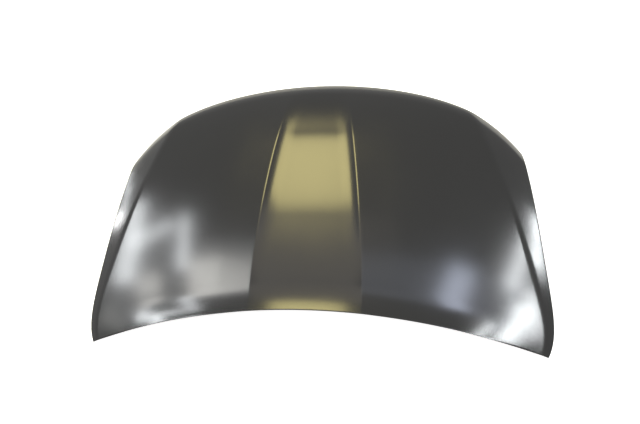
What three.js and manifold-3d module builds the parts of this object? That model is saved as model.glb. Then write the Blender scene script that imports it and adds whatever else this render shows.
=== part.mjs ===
// A pressed steel car bonnet, lying outer face up on its four corners.
// The outer skin is hemmed over a ribbed inner panel. Two ridges bound a shallow
// panel sunk into the middle of the skin, and a shoulder runs down each side.
// Frame: +X is the car's right, +Y points to the nose, +Z is up. Millimetres.
// The plan is measured from the line through the two rear tips.

import * as THREE from 'three';
import { mergeVertices } from 'three/addons/utils/BufferGeometryUtils.js';
import Module from 'manifold-3d';

const wasm = await Module();
wasm.setup();

// Plan outline of the skin
const LENGTH = 881;
const CORNER_Y = 640;
const FRONT_HALF_WIDTH = 654;
const REAR_HALF_WIDTH = 701;
const SIDE_BOW = 73;
const TIP_FLARE = 293;
const TIP_FLARE_POWER = 6;
const REAR_HOLLOW = 97;
const NOSE_ROUNDNESS = 0.665;

// Crown of the skin: how far it drops by a rear tip's width, by its whole length
// and, from NOSE_FALL_FROM_Y on, further at the nose
const CROWN_ACROSS = 83.5;
const CROWN_ALONG = 116;
const CROWN_PEAK_Y = 250;
const NOSE_FALL = 36;
const NOSE_FALL_FROM_Y = 450;

// Pressed lines of the skin
const RIDGE_HALF_REAR = 172;
const RIDGE_HALF_FRONT = 88;
const RIDGE_BOW = 64;
const RIDGE_ROUND = 3;
const RIDGE_FALL_SLOPE = 0.06;
const RIDGE_FALL_WIDTH = 100;
const RECESS_DEPTH = 8.5;
const RECESS_WALL = 56;
const RECESS_REAR_LAND = 15;
const RECESS_REAR_FADE = 280;
const RECESS_FRONT_END = 0.97;
const RECESS_FRONT_FADE = 0.22;
const SHOULDER_REAR = 17;
const SHOULDER_TAPER = 53;
const SHOULDER_SWEEP = 87;
const SHOULDER_SLOPE = 0.22;
const SHOULDER_BLEND = 14;
const NOSE_ROLL = 24;
const NOSE_ROLL_SLOPE = 0.36;
const NOSE_ROLL_BLEND = 22;
const REAR_KICK = 85;
const REAR_KICK_SLOPE = 0.27;
const REAR_KICK_HALF_WIDTH = 0.95;
const REAR_KICK_FADE = 0.35;

// Sheets, hem and clearances
const SKIN_THICKNESS = 0.7;
const INNER_THICKNESS = 0.7;
const HEM_GAP = 0.35;
const HEM_WIDTH = 10;
const HEM_LAND = 12;
const HEM_STEPS = 3;
const INNER_EDGE_SETBACK = 1.2;
const SEAT_GAP = 0.3;

// Inner panel sections, as distances below the skin and in from its edges
const CHANNEL_DEPTH = 21;
const RIB_DEPTH = 19;
const CROSS_RIB_DEPTH = 15;
const CORNER_DEPTH = 8;
const CORNER_FADE = 120;
const FLANGE_DEPTH = 4.4;
const FLANGE_WIDTH = 22;
const WALL_RUN = 16;
const OUTER_WALL_RUN = 14;
const NOSE_WALL_RUN = 18;
const REAR_CHANNEL_END = 80;
const NOSE_CHANNEL_END = 100;
const SIDE_CHANNEL_END = 104;
const RIB_FROM_RIDGE = 46;
const RIB_FLOOR = 38;
const CROSS_RIB_FLOOR = 36;
const CROSS_RIB_AT = 0.5;

// Cut-outs of the inner panel
const OPENING_RADIUS = 34;
const RIB_HOLE_DIAMETER = 24;
const RIB_HOLES_AT = [0.26, 0.36, 0.62, 0.72];
const CLIP_HOLE_DIAMETER = 8;
const CLIP_HOLES_REAR_AT = [0.17, 0.47, 0.71];
const CLIP_HOLES_NOSE_AT = [0.275, 0.505];
const CLIP_HOLE_REAR_INSET = 60;
const CLIP_HOLE_NOSE_INSET = 68;
const PROP_SLOT_AT = 0.642;
const PROP_SLOT_INSET = 66;
const PROP_SLOT_LENGTH = 24;
const PROP_SLOT_WIDTH = 12;

// Hinge seats
const HINGE_INSET = 77;
const HINGE_SETBACK = 109;
const HINGE_SEAT_DEPTH = 18;
const HINGE_SEAT_REAR = 54;
const HINGE_SEAT_LENGTH = 140;
const HINGE_SEAT_OUTER = 44;
const HINGE_PLATE_WIDTH = 46;
const HINGE_PLATE_LENGTH = 112;
const HINGE_PLATE_THICKNESS = 1.5;
const HINGE_PLATE_LIP = 9;
const HINGE_BOLT_PITCH = 76;
const HINGE_BOLT_HOLE = 9;
const HINGE_NUT_ACROSS_FLATS = 13;
const HINGE_NUT_HEIGHT = 6.5;
const HINGE_NUT_COLLAR = 17;
const HINGE_NUT_COLLAR_HEIGHT = 1.2;
const HINGE_NUT_BORE = 7;

// Latch seat, striker and prop seat
const LATCH_INSET = 68;
const LATCH_SEAT_NOSE = 38;
const LATCH_SEAT_DEPTH = 22;
const LATCH_SLOPE_Y = -0.2;
const LATCH_SEAT_HALF_WIDTH = 74;
const LATCH_PLATE_WIDTH = 124;
const LATCH_PLATE_LENGTH = 50;
const LATCH_PLATE_THICKNESS = 1.2;
const LATCH_PLATE_LIP = 7;
const STRIKER_BASE_WIDTH = 44;
const STRIKER_BASE_LENGTH = 56;
const STRIKER_BASE_THICKNESS = 2.5;
const STRIKER_WIRE = 8;
const STRIKER_SPAN = 32;
const STRIKER_DROP = 34;
const STRIKER_CORNER = 9;
const STRIKER_HOLE_CLEARANCE = 0.6;
const PROP_PLATE_WIDTH = 34;
const PROP_PLATE_LENGTH = 46;
const PROP_PLATE_THICKNESS = 1.2;
const PROP_PLATE_CORNER = 5;

// Mastic pads that bond the inner panel's flanges to the skin
const PAD_LENGTH = 36;
const PAD_WIDTH = 13;
const RIB_OUTER_PADS_AT = [0.24, 0.34, 0.66];
const RIB_INNER_PADS_AT = [0.3, 0.66];
const REAR_PAD_AT = 0.57;
const NOSE_PAD_AT = 0.505;
const SIDE_PAD_AT = 0.68;

const ECOAT = { color: 0x1b1c1c, roughness: 0.28, metalness: 0.0 };
const ECOAT_INSIDE = { color: 0x202121, roughness: 0.42, metalness: 0.0 };
const MASTIC = { color: 0x4b4a46, roughness: 0.85, metalness: 0.0 };

const clamp01 = (t) => Math.min(1, Math.max(0, t));
const mix = (a, b, t) => a + (b - a) * t;
const smooth = (t) => clamp01(t) ** 2 * (3 - 2 * clamp01(t));

// A slope that starts at zero, softened by a parabola of half length blend
function softRamp(t, blend) {
  if (t <= -blend) return 0;
  if (t >= blend) return t;
  return (t + blend) ** 2 / (4 * blend);
}

// Skin surface. v runs from the rear edge to the nose, s from side to side.
function halfWidth(v) {
  const bow = SIDE_BOW * v * (1 - v) + TIP_FLARE * v * (1 - v) ** TIP_FLARE_POWER;
  return mix(REAR_HALF_WIDTH, FRONT_HALF_WIDTH, v) + bow;
}

function noseY(s) {
  const drop = NOSE_ROUNDNESS * s ** 2 + (1 - NOSE_ROUNDNESS) * s ** 6;
  return LENGTH - (LENGTH - CORNER_Y) * drop;
}

function rearY(s) {
  return REAR_HOLLOW * (1 - s ** 2);
}

const span = (s) => noseY(s) - rearY(s);

// How much longer a distance along Y is than the same one square to an edge
function lean(edgeY, edgeHalfWidth, s) {
  const step = 0.01;
  const inner = Math.min(Math.abs(s), 1) - step;
  const slope = (edgeY(inner + step) - edgeY(inner)) / (step * edgeHalfWidth);
  return Math.hypot(1, slope);
}
const noseLean = (s) => lean(noseY, FRONT_HALF_WIDTH, s);
const rearLean = (s) => lean(rearY, REAR_HALF_WIDTH, s);

const ridgeX = (v) => mix(RIDGE_HALF_REAR, RIDGE_HALF_FRONT, v) + RIDGE_BOW * v * (1 - v);
const shoulderInset = (v) => SHOULDER_REAR + SHOULDER_TAPER * v + SHOULDER_SWEEP * v * v;

// Height of the sunken middle panel, its two ridges and the fall outside them
function recessHeight(x, v, fromRear) {
  const inside = ridgeX(v) - Math.abs(x);
  const beyond = Math.max(0, -inside);
  const frontFade = smooth((RECESS_FRONT_END - v) / RECESS_FRONT_FADE);
  const rearFade = smooth((fromRear - RECESS_REAR_LAND) / RECESS_REAR_FADE);
  const wall = clamp01(1 - inside / RECESS_WALL) ** 2 - 1;
  const sunk = inside > 0 ? wall * RECESS_DEPTH * rearFade : 0;
  const near = Math.min(beyond, RIDGE_FALL_WIDTH);
  const fall = RIDGE_FALL_SLOPE * (near - near ** 2 / (2 * RIDGE_FALL_WIDTH));
  const kink = ((2 * RECESS_DEPTH) / RECESS_WALL) * rearFade + RIDGE_FALL_SLOPE;
  const worn = kink * (softRamp(-inside, RIDGE_ROUND) - beyond);
  return (sunk - fall - worn) * frontFade;
}

function pressedPoint(s, v) {
  const x = s * halfWidth(v);
  const y = mix(rearY(s), noseY(s), v);
  const fromNose = (1 - v) * span(s);
  const fromRear = v * span(s);
  const inset = shoulderInset(v);
  const blend = SHOULDER_BLEND * Math.min(1, inset / (3 * SHOULDER_BLEND));
  const crown = -CROWN_ACROSS * (x / REAR_HALF_WIDTH) ** 2 - CROWN_ALONG * ((y - CROWN_PEAK_Y) / LENGTH) ** 2;
  const fall = -NOSE_FALL * (Math.max(0, y - NOSE_FALL_FROM_Y) / (LENGTH - NOSE_FALL_FROM_Y)) ** 3;
  const shoulder = -SHOULDER_SLOPE * softRamp(Math.abs(x) - halfWidth(v) + inset, blend);
  const roll = -NOSE_ROLL_SLOPE * softRamp(NOSE_ROLL - fromNose, NOSE_ROLL_BLEND);
  const kickShape = Math.max(0, REAR_KICK - fromRear) ** 2 / (2 * REAR_KICK);
  const kickFade = smooth((REAR_KICK_HALF_WIDTH - Math.abs(s)) / REAR_KICK_FADE);
  const kick = REAR_KICK_SLOPE * kickShape * kickFade;
  return new THREE.Vector3(x, y, crown + fall + shoulder + roll + kick + recessHeight(x, v, fromRear));
}

// The skin is turned until its four corners stand at one height
const REAR_TIP = pressedPoint(1, 0);
const FRONT_CORNER = pressedPoint(1, 1);
const REST_SLOPE = (REAR_TIP.z - FRONT_CORNER.z) / (FRONT_CORNER.y - REAR_TIP.y);

function skinPoint(s, v) {
  const point = pressedPoint(s, v);
  point.z += REST_SLOPE * point.y;
  return point;
}

function skinNormal(s, v) {
  const step = 0.003;
  const s0 = Math.max(-1, s - step);
  const v0 = Math.max(0, v - step);
  const across = skinPoint(Math.min(1, s + step), v).sub(skinPoint(s0, v));
  const along = skinPoint(s, Math.min(1, v + step)).sub(skinPoint(s, v0));
  return across.cross(along).normalize();
}

// Grid lines of both panels: columns give x at a station v, rows give v at a station s
const fromSide = (inset) => (v) => halfWidth(v) - inset;
const fromShoulder = (least, shift) => (v) => halfWidth(v) - Math.max(least, shoulderInset(v) + shift);
const fromRidge = (shift) => (v) => ridgeX(v) + shift;
const sideChannelEnd = (v) => Math.max(SIDE_CHANNEL_END, shoulderInset(v) + SHOULDER_BLEND);
const ribEnd = RIB_FROM_RIDGE + RIB_FLOOR + WALL_RUN;
const fieldX = (share) => (v) => {
  const inner = ridgeX(v) + ribEnd;
  const outer = halfWidth(v) - sideChannelEnd(v) - WALL_RUN;
  return mix(inner, outer, share);
};

const FLOOR_START = HEM_LAND + OUTER_WALL_RUN;
const HALF_COLUMNS = [
  fromRidge(-RECESS_WALL),
  fromRidge(-0.7 * RECESS_WALL),
  fromRidge(-0.35 * RECESS_WALL),
  fromRidge(0),
  fromRidge(RIB_FROM_RIDGE - WALL_RUN),
  fromRidge(RIB_FROM_RIDGE),
  fromRidge(RIB_FROM_RIDGE + RIB_FLOOR),
  fromRidge(ribEnd),
  fieldX(1 / 3),
  fieldX(2 / 3),
  fieldX(1),
  (v) => halfWidth(v) - sideChannelEnd(v),
  fromShoulder(HINGE_SEAT_OUTER + SHOULDER_BLEND, 0),
  fromShoulder(HINGE_SEAT_OUTER, -SHOULDER_BLEND),
  fromSide(FLOOR_START),
  fromSide(HEM_LAND),
  halfWidth,
];
const COLUMNS = [
  ...HALF_COLUMNS.map((column) => (v) => -column(v)).reverse(),
  () => 0,
  ...HALF_COLUMNS,
];

const rearInset = (inset) => (s) => (inset * rearLean(s)) / span(s);
const noseInset = (inset) => (s) => 1 - (inset * noseLean(s)) / span(s);
const crossRibRow = (shift) => (s) => CROSS_RIB_AT + shift / span(s);
const NOSE_FLOOR_START = HEM_LAND + NOSE_WALL_RUN;
const ROWS = [
  () => 0,
  rearInset(HEM_LAND),
  rearInset(FLOOR_START),
  rearInset(HINGE_SEAT_REAR),
  rearInset(REAR_CHANNEL_END),
  rearInset(REAR_CHANNEL_END + WALL_RUN),
  rearInset(HINGE_SEAT_REAR + HINGE_SEAT_LENGTH),
  (s) => mix(rearInset(HINGE_SEAT_REAR + HINGE_SEAT_LENGTH)(s), crossRibRow(-CROSS_RIB_FLOOR / 2 - WALL_RUN)(s), 0.5),
  crossRibRow(-CROSS_RIB_FLOOR / 2 - WALL_RUN),
  crossRibRow(-CROSS_RIB_FLOOR / 2),
  crossRibRow(CROSS_RIB_FLOOR / 2),
  crossRibRow(CROSS_RIB_FLOOR / 2 + WALL_RUN),
  (s) => mix(crossRibRow(CROSS_RIB_FLOOR / 2 + WALL_RUN)(s), noseInset(NOSE_CHANNEL_END + WALL_RUN)(s), 0.5),
  noseInset(NOSE_CHANNEL_END + WALL_RUN),
  noseInset(NOSE_CHANNEL_END),
  noseInset(LATCH_SEAT_NOSE),
  noseInset(NOSE_FLOOR_START),
  noseInset((NOSE_FLOOR_START + HEM_LAND) / 2),
  noseInset(HEM_LAND),
  () => 1,
];

function station(column, row) {
  const startV = row(0);
  const startS = column(startV) / halfWidth(startV);
  const v = row(startS);
  const s = column(v) / halfWidth(v);
  return { s, v, point: skinPoint(s, v), normal: skinNormal(s, v) };
}

const GRID = ROWS.map((row) => COLUMNS.map((column) => station(column, row)));
const LAST_ROW = ROWS.length - 1;
const LAST_COLUMN = COLUMNS.length - 1;

// Grid places around the edge, in order, seen from above, counter-clockwise
const EDGE = [];
for (let i = 0; i < LAST_COLUMN; i += 1) EDGE.push([0, i]);
for (let j = 0; j < LAST_ROW; j += 1) EDGE.push([j, LAST_COLUMN]);
for (let i = LAST_COLUMN; i > 0; i -= 1) EDGE.push([LAST_ROW, i]);
for (let j = LAST_ROW; j > 0; j -= 1) EDGE.push([j, 0]);

// The grid place next to an edge place, on the line where the hem's land ends
function inward([j, i]) {
  const row = Math.min(LAST_ROW - 1, Math.max(1, j));
  const column = Math.min(LAST_COLUMN - 1, Math.max(1, i));
  return [row, column];
}
const at = (grid, [j, i]) => grid[j][i];

// A mesh under construction: points and counter-clockwise triangles
class Facets {
  constructor() {
    this.points = [];
    this.triangles = [];
  }

  add(point) {
    this.points.push(point.x, point.y, point.z);
    return this.points.length / 3 - 1;
  }

  // Cells mirror about the centre line, so both halves bend the same way
  cell(a, b, c, d, mirrored) {
    if (mirrored) this.triangles.push(a, b, d, b, c, d);
    else this.triangles.push(a, b, c, a, c, d);
  }

  sheet(indices, up) {
    for (let j = 0; j < LAST_ROW; j += 1) {
      for (let i = 0; i < LAST_COLUMN; i += 1) {
        const left = i < LAST_COLUMN / 2;
        const corners = [indices[j][i], indices[j][i + 1], indices[j + 1][i + 1], indices[j + 1][i]];
        if (up) this.cell(...corners, left);
        else this.cell(corners[0], corners[3], corners[2], corners[1], left);
      }
    }
  }

  // Joins one closed loop of points to the next, the second lying outside or below
  band(upper, lower) {
    upper.forEach((a, k) => {
      const next = (k + 1) % upper.length;
      this.cell(lower[k], lower[next], upper[next], a, false);
    });
  }

  geometry() {
    const geometry = new THREE.BufferGeometry();
    geometry.setAttribute('position', new THREE.Float32BufferAttribute(this.points, 3));
    geometry.setIndex(this.triangles);
    return geometry;
  }
}

function gridIndices(facets, points) {
  return points.map((row) => row.map((point) => facets.add(point)));
}

const below = (place, depth) => place.point.clone().addScaledVector(place.normal, -depth);

// The way out of the edge, in the skin's tangent plane, mitred at the corners
function outwardAt(k) {
  const count = EDGE.length;
  const here = at(GRID, EDGE[k]);
  const before = at(GRID, EDGE[(k + count - 1) % count]).point;
  const after = at(GRID, EDGE[(k + 1) % count]).point;
  const first = here.point.clone().sub(before).cross(here.normal).normalize();
  const second = after.clone().sub(here.point).cross(here.normal).normalize();
  return first.clone().add(second).divideScalar(1 + first.dot(second));
}

// Outer skin, with its edge folded back under itself over the inner panel
const HEM_INNER_RADIUS = HEM_GAP + INNER_THICKNESS / 2;
const HEM_OUTER_RADIUS = HEM_INNER_RADIUS + SKIN_THICKNESS;

function outerPanel() {
  const facets = new Facets();
  const top = gridIndices(facets, GRID.map((row) => row.map((place) => below(place, 0))));
  const underside = gridIndices(facets, GRID.map((row) => row.map((place) => below(place, SKIN_THICKNESS))));
  facets.sheet(top, true);
  facets.sheet(underside, false);

  const section = EDGE.map((where, k) => {
    const edge = at(GRID, where);
    const land = at(GRID, inward(where));
    const outward = outwardAt(k);
    const centre = below(edge, HEM_OUTER_RADIUS);
    const bend = (radius, step) => {
      const angle = Math.PI * (0.5 - step / HEM_STEPS);
      const out = outward.clone().multiplyScalar(radius * Math.cos(angle));
      return centre.clone().add(out).addScaledVector(edge.normal, radius * Math.sin(angle));
    };
    const tip = (depth) => below(edge, depth).lerp(below(land, depth), HEM_WIDTH / HEM_LAND);
    const points = [];
    for (let step = 1; step <= HEM_STEPS; step += 1) points.push(bend(HEM_OUTER_RADIUS, step));
    points.push(tip(2 * HEM_OUTER_RADIUS), tip(2 * HEM_OUTER_RADIUS - SKIN_THICKNESS));
    for (let step = HEM_STEPS; step >= 1; step -= 1) points.push(bend(HEM_INNER_RADIUS, step));
    return points.map((point) => facets.add(point));
  });

  const loops = section[0].map((_, n) => section.map((points) => points[n]));
  const ring = [EDGE.map((where) => at(top, where)), ...loops, EDGE.map((where) => at(underside, where))];
  for (let n = 0; n + 1 < ring.length; n += 1) facets.band(ring[n], ring[n + 1]);
  return facets.geometry();
}

// Section of the inner panel: how far its lower face lies below the skin
const HEM_DEPTH = SKIN_THICKNESS + HEM_GAP + INNER_THICKNESS;

function outerWall(inset, run, depth) {
  return mix(HEM_DEPTH, depth, clamp01((inset - HEM_LAND) / run));
}

function channel(distance, floor, depth) {
  return mix(depth, FLANGE_DEPTH, clamp01((distance - floor) / WALL_RUN));
}

function innerDepth({ s, v, point }) {
  const fromEdge = halfWidth(v) - Math.abs(point.x);
  const fromRear = (v * span(s)) / rearLean(s);
  const fromNose = ((1 - v) * span(s)) / noseLean(s);
  const fromCorner = Math.hypot(fromEdge, Math.min(fromRear, fromNose));
  const deepest = mix(CORNER_DEPTH, CHANNEL_DEPTH, smooth(fromCorner / CORNER_FADE));
  const walls = Math.min(
    outerWall(fromEdge, OUTER_WALL_RUN, deepest),
    outerWall(fromRear, OUTER_WALL_RUN, deepest),
    outerWall(fromNose, NOSE_WALL_RUN, deepest),
  );
  const ribMiddle = ridgeX(v) + RIB_FROM_RIDGE + RIB_FLOOR / 2;
  const fromCrossRib = Math.abs(v - CROSS_RIB_AT) * span(s);
  const sections = Math.max(
    channel(fromEdge, sideChannelEnd(v), CHANNEL_DEPTH),
    channel(fromRear, REAR_CHANNEL_END, CHANNEL_DEPTH),
    channel(fromNose, NOSE_CHANNEL_END, CHANNEL_DEPTH),
    channel(Math.abs(Math.abs(point.x) - ribMiddle), RIB_FLOOR / 2, RIB_DEPTH),
    channel(fromCrossRib, CROSS_RIB_FLOOR / 2, CROSS_RIB_DEPTH),
  );
  return Math.min(walls, sections);
}

// Flat seats pressed into the inner panel. z is the seat's lower face.
const stationAtXY = (x, y) => {
  let v = clamp01(y / LENGTH);
  for (let turn = 0; turn < 20; turn += 1) {
    const s = x / halfWidth(v);
    v = (y - rearY(s)) / span(s);
  }
  return { s: x / halfWidth(v), v };
};

const skinHeight = (x, y) => {
  const { s, v } = stationAtXY(x, y);
  return skinPoint(s, v).z;
};

function seat(x, y, slopeX, slopeY, depth) {
  const z = skinHeight(x, y) - depth;
  return { x, y, z, slopeX, slopeY, heightAt: (px, py) => z + slopeX * (px - x) + slopeY * (py - y) };
}

// A hinge seat lies along the skin above it, set in from the side and the rear edge
function hingeSeat(side) {
  let v = 0;
  let y = 0;
  for (let turn = 0; turn < 20; turn += 1) {
    const s = (halfWidth(v) - HINGE_INSET) / halfWidth(v);
    y = rearY(s) + HINGE_SETBACK * rearLean(s);
    v = (y - rearY(s)) / span(s);
  }
  const x = side * (halfWidth(v) - HINGE_INSET);
  const reach = HINGE_PLATE_WIDTH / 2;
  const slopeX = (skinHeight(x + reach, y) - skinHeight(x - reach, y)) / (2 * reach);
  const slopeY = (skinHeight(x, y + reach) - skinHeight(x, y - reach)) / (2 * reach);
  return seat(x, y, slopeX, slopeY, HINGE_SEAT_DEPTH);
}

const LATCH_Y = LENGTH - LATCH_INSET;
const latchSeat = seat(0, LATCH_Y, 0, LATCH_SLOPE_Y, LATCH_SEAT_DEPTH);
const hingeSeats = [hingeSeat(-1), hingeSeat(1)];

const TOUCH = 0.6;
const within = (value, low, high) => value > low - TOUCH && value < high + TOUCH;

function seatUnder({ s, v, point }) {
  const fromEdge = halfWidth(v) - Math.abs(point.x);
  const fromRear = (v * span(s)) / rearLean(s);
  const fromNose = ((1 - v) * span(s)) / noseLean(s);
  const onHinge = within(fromEdge, HINGE_SEAT_OUTER, sideChannelEnd(v))
    && within(fromRear, HINGE_SEAT_REAR, HINGE_SEAT_REAR + HINGE_SEAT_LENGTH);
  if (onHinge) return hingeSeats[point.x < 0 ? 0 : 1];
  const onLatch = Math.abs(point.x) < LATCH_SEAT_HALF_WIDTH
    && within(fromNose, LATCH_SEAT_NOSE, NOSE_CHANNEL_END);
  return onLatch ? latchSeat : null;
}

// Unit normals of a grid of points, averaged over the cells that meet at each
function gridNormals(points) {
  const pick = (j, i) => points[Math.min(LAST_ROW, Math.max(0, j))][Math.min(LAST_COLUMN, Math.max(0, i))];
  return points.map((row, j) => row.map((_, i) => {
    const across = pick(j, i + 1).clone().sub(pick(j, i - 1));
    const along = pick(j + 1, i).clone().sub(pick(j - 1, i));
    return across.cross(along).normalize();
  }));
}

function innerFaces() {
  const places = GRID.map((row, j) => row.map((place, i) => {
    const onEdge = j === 0 || i === 0 || j === LAST_ROW || i === LAST_COLUMN;
    if (!onEdge) return place;
    const land = at(GRID, inward([j, i]));
    return { ...place, point: place.point.clone().lerp(land.point, INNER_EDGE_SETBACK / HEM_LAND) };
  }));
  const lower = places.map((row, j) => row.map((place, i) => {
    const point = below(place, HEM_DEPTH);
    point.z -= innerDepth(GRID[j][i]) - HEM_DEPTH;
    const flat = seatUnder(GRID[j][i]);
    if (flat) point.z = flat.heightAt(point.x, point.y);
    return point;
  }));
  const normals = gridNormals(lower);
  const upper = lower.map((row, j) => row.map((point, i) => {
    const inHem = j <= 1 || i <= 1 || j >= LAST_ROW - 1 || i >= LAST_COLUMN - 1;
    const normal = inHem ? GRID[j][i].normal : normals[j][i];
    return point.clone().addScaledVector(normal, INNER_THICKNESS);
  }));
  return { upper, lower };
}

// Solids for joining and cutting
function solidOf(geometry) {
  const bare = geometry.clone();
  bare.deleteAttribute('normal');
  bare.deleteAttribute('uv');
  const merged = mergeVertices(bare, 1e-4);
  const vertProperties = new Float32Array(merged.attributes.position.array);
  const triVerts = new Uint32Array(merged.index.array);
  return new wasm.Manifold(new wasm.Mesh({ numProp: 3, vertProperties, triVerts }));
}

function geometryOf(solid) {
  const mesh = solid.getMesh();
  const geometry = new THREE.BufferGeometry();
  geometry.setAttribute('position', new THREE.Float32BufferAttribute(mesh.vertProperties, 3));
  geometry.setIndex(Array.from(mesh.triVerts));
  return geometry;
}

const cut = (solid, cutters) => cutters.reduce((rest, cutter) => rest.subtract(cutter), solid);

const prism = (shape, depth, curveSegments = 8) => new THREE.ExtrudeGeometry(shape, {
  depth, bevelEnabled: false, curveSegments,
});

const CUTTER_REACH = 200;
function throughCutter(shape, curveSegments) {
  return solidOf(prism(shape, 2 * CUTTER_REACH, curveSegments).translate(0, 0, -CUTTER_REACH));
}

function circle(x, y, diameter) {
  return new THREE.Shape().absarc(x, y, diameter / 2, 0, 2 * Math.PI, false);
}

// A rectangle about (x, y) with round corners
function roundedRectangle(x, y, width, length, radius) {
  const r = Math.min(radius, width / 2 - 0.01, length / 2 - 0.01);
  const right = x + width / 2 - r;
  const left = x - width / 2 + r;
  const front = y + length / 2 - r;
  const rear = y - length / 2 + r;
  const shape = new THREE.Shape();
  shape.absarc(right, rear, r, -Math.PI / 2, 0, false);
  shape.absarc(right, front, r, 0, Math.PI / 2, false);
  shape.absarc(left, front, r, Math.PI / 2, Math.PI, false);
  shape.absarc(left, rear, r, Math.PI, 1.5 * Math.PI, false);
  return shape;
}

// A round-cornered opening whose sides follow two columns and two rows
function openingOutline(left, right, rear, front) {
  const CORNER_STEPS = 5;
  const SIDE_STEPS = 3;
  const place = (p, q) => {
    const guess = mix(rear(0), front(0), q);
    const s = mix(left(guess), right(guess), p) / halfWidth(guess);
    const v = mix(rear(s), front(s), q);
    const x = mix(left(v), right(v), p);
    const sHere = x / halfWidth(v);
    return new THREE.Vector2(x, mix(rearY(sHere), noseY(sHere), v));
  };
  const width = place(0, 0.5).distanceTo(place(1, 0.5));
  const length = place(0.5, 0).distanceTo(place(0.5, 1));
  const rp = OPENING_RADIUS / width;
  const rq = OPENING_RADIUS / length;
  const quarter = Math.PI / 2;
  const corners = [[1 - rp, rq, -quarter], [1 - rp, 1 - rq, 0], [rp, 1 - rq, quarter], [rp, rq, 2 * quarter]];
  const outline = [];
  corners.forEach(([p, q, turn], n) => {
    for (let step = 0; step <= CORNER_STEPS; step += 1) {
      const angle = turn + (quarter * step) / CORNER_STEPS;
      outline.push([p + rp * Math.cos(angle), q + rq * Math.sin(angle)]);
    }
    const [nextP, nextQ, angle] = corners[(n + 1) % 4];
    const last = outline[outline.length - 1];
    const next = [nextP + rp * Math.cos(angle), nextQ + rq * Math.sin(angle)];
    for (let step = 1; step < SIDE_STEPS; step += 1) {
      outline.push([mix(last[0], next[0], step / SIDE_STEPS), mix(last[1], next[1], step / SIDE_STEPS)]);
    }
  });
  return new THREE.Shape(outline.map(([p, q]) => place(p, q)));
}

const mirrored = (column) => (v) => -column(v);

function openingShapes() {
  const crossEdge = CROSS_RIB_FLOOR / 2 + WALL_RUN + FLANGE_WIDTH;
  const rear = rearInset(REAR_CHANNEL_END + WALL_RUN + FLANGE_WIDTH);
  const front = noseInset(NOSE_CHANNEL_END + WALL_RUN + FLANGE_WIDTH);
  const middle = fromRidge(RIB_FROM_RIDGE - WALL_RUN - FLANGE_WIDTH);
  const inner = fromRidge(ribEnd + FLANGE_WIDTH);
  const outer = (v) => halfWidth(v) - sideChannelEnd(v) - WALL_RUN - FLANGE_WIDTH;
  const bays = [[mirrored(middle), middle], [inner, outer], [mirrored(outer), mirrored(inner)]];
  return bays.flatMap(([left, right]) => [
    openingOutline(left, right, rear, crossRibRow(-crossEdge)),
    openingOutline(left, right, crossRibRow(crossEdge), front),
  ]);
}

const PROP_SLOT_X = PROP_SLOT_AT * FRONT_HALF_WIDTH;
const PROP_SLOT_Y = noseY(PROP_SLOT_AT) - PROP_SLOT_INSET * noseLean(PROP_SLOT_AT);

function smallHoleShapes() {
  const holes = [roundedRectangle(PROP_SLOT_X, PROP_SLOT_Y, PROP_SLOT_WIDTH, PROP_SLOT_LENGTH, PROP_SLOT_WIDTH)];
  [-1, 1].forEach((side) => {
    RIB_HOLES_AT.forEach((v) => {
      const x = ridgeX(v) + RIB_FROM_RIDGE + RIB_FLOOR / 2;
      const s = x / halfWidth(v);
      holes.push(circle(side * x, mix(rearY(s), noseY(s), v), RIB_HOLE_DIAMETER));
    });
    CLIP_HOLES_REAR_AT.forEach((s) => {
      const y = rearY(s) + CLIP_HOLE_REAR_INSET * rearLean(s);
      holes.push(circle(side * s * REAR_HALF_WIDTH, y, CLIP_HOLE_DIAMETER));
    });
    CLIP_HOLES_NOSE_AT.forEach((s) => {
      const y = noseY(s) - CLIP_HOLE_NOSE_INSET * noseLean(s);
      holes.push(circle(side * s * FRONT_HALF_WIDTH, y, CLIP_HOLE_DIAMETER));
    });
  });
  return holes;
}

// A group whose own XY plane lies on a seat, with +Z out of its upper side
function seatGroup(flat) {
  const group = new THREE.Group();
  const acrossAxis = new THREE.Vector3(1, 0, flat.slopeX).normalize();
  const normal = new THREE.Vector3(-flat.slopeX, -flat.slopeY, 1).normalize();
  const alongAxis = normal.clone().cross(acrossAxis);
  group.quaternion.setFromRotationMatrix(new THREE.Matrix4().makeBasis(acrossAxis, alongAxis, normal));
  group.position.set(flat.x, flat.y, flat.z);
  group.updateMatrixWorld(true);
  return group;
}

const BOLT_OFFSETS = [-HINGE_BOLT_PITCH / 2, HINGE_BOLT_PITCH / 2];

// Holes square to a seat, cut through the panel that the seat belongs to
function seatCutters(flat, places, diameter) {
  const { matrixWorld } = seatGroup(flat);
  const reach = 20;
  return places.map((y) => {
    const hole = prism(circle(0, y, diameter), 2 * reach).translate(0, 0, -reach);
    return solidOf(hole.applyMatrix4(matrixWorld));
  });
}

const faces = innerFaces();

function innerPanel() {
  const facets = new Facets();
  const upper = gridIndices(facets, faces.upper);
  const lower = gridIndices(facets, faces.lower);
  facets.sheet(upper, true);
  facets.sheet(lower, false);
  facets.band(EDGE.map((where) => at(upper, where)), EDGE.map((where) => at(lower, where)));
  const cutters = [
    ...openingShapes().map((shape) => throughCutter(shape, 1)),
    ...smallHoleShapes().map((shape) => throughCutter(shape, 6)),
    ...hingeSeats.flatMap((flat) => seatCutters(flat, BOLT_OFFSETS, HINGE_BOLT_HOLE)),
  ];
  return geometryOf(cut(solidOf(facets.geometry()), cutters));
}

// Pieces that sit on the seats, each in its seat's own frame
const OVER_INNER = INNER_THICKNESS + SEAT_GAP;

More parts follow.
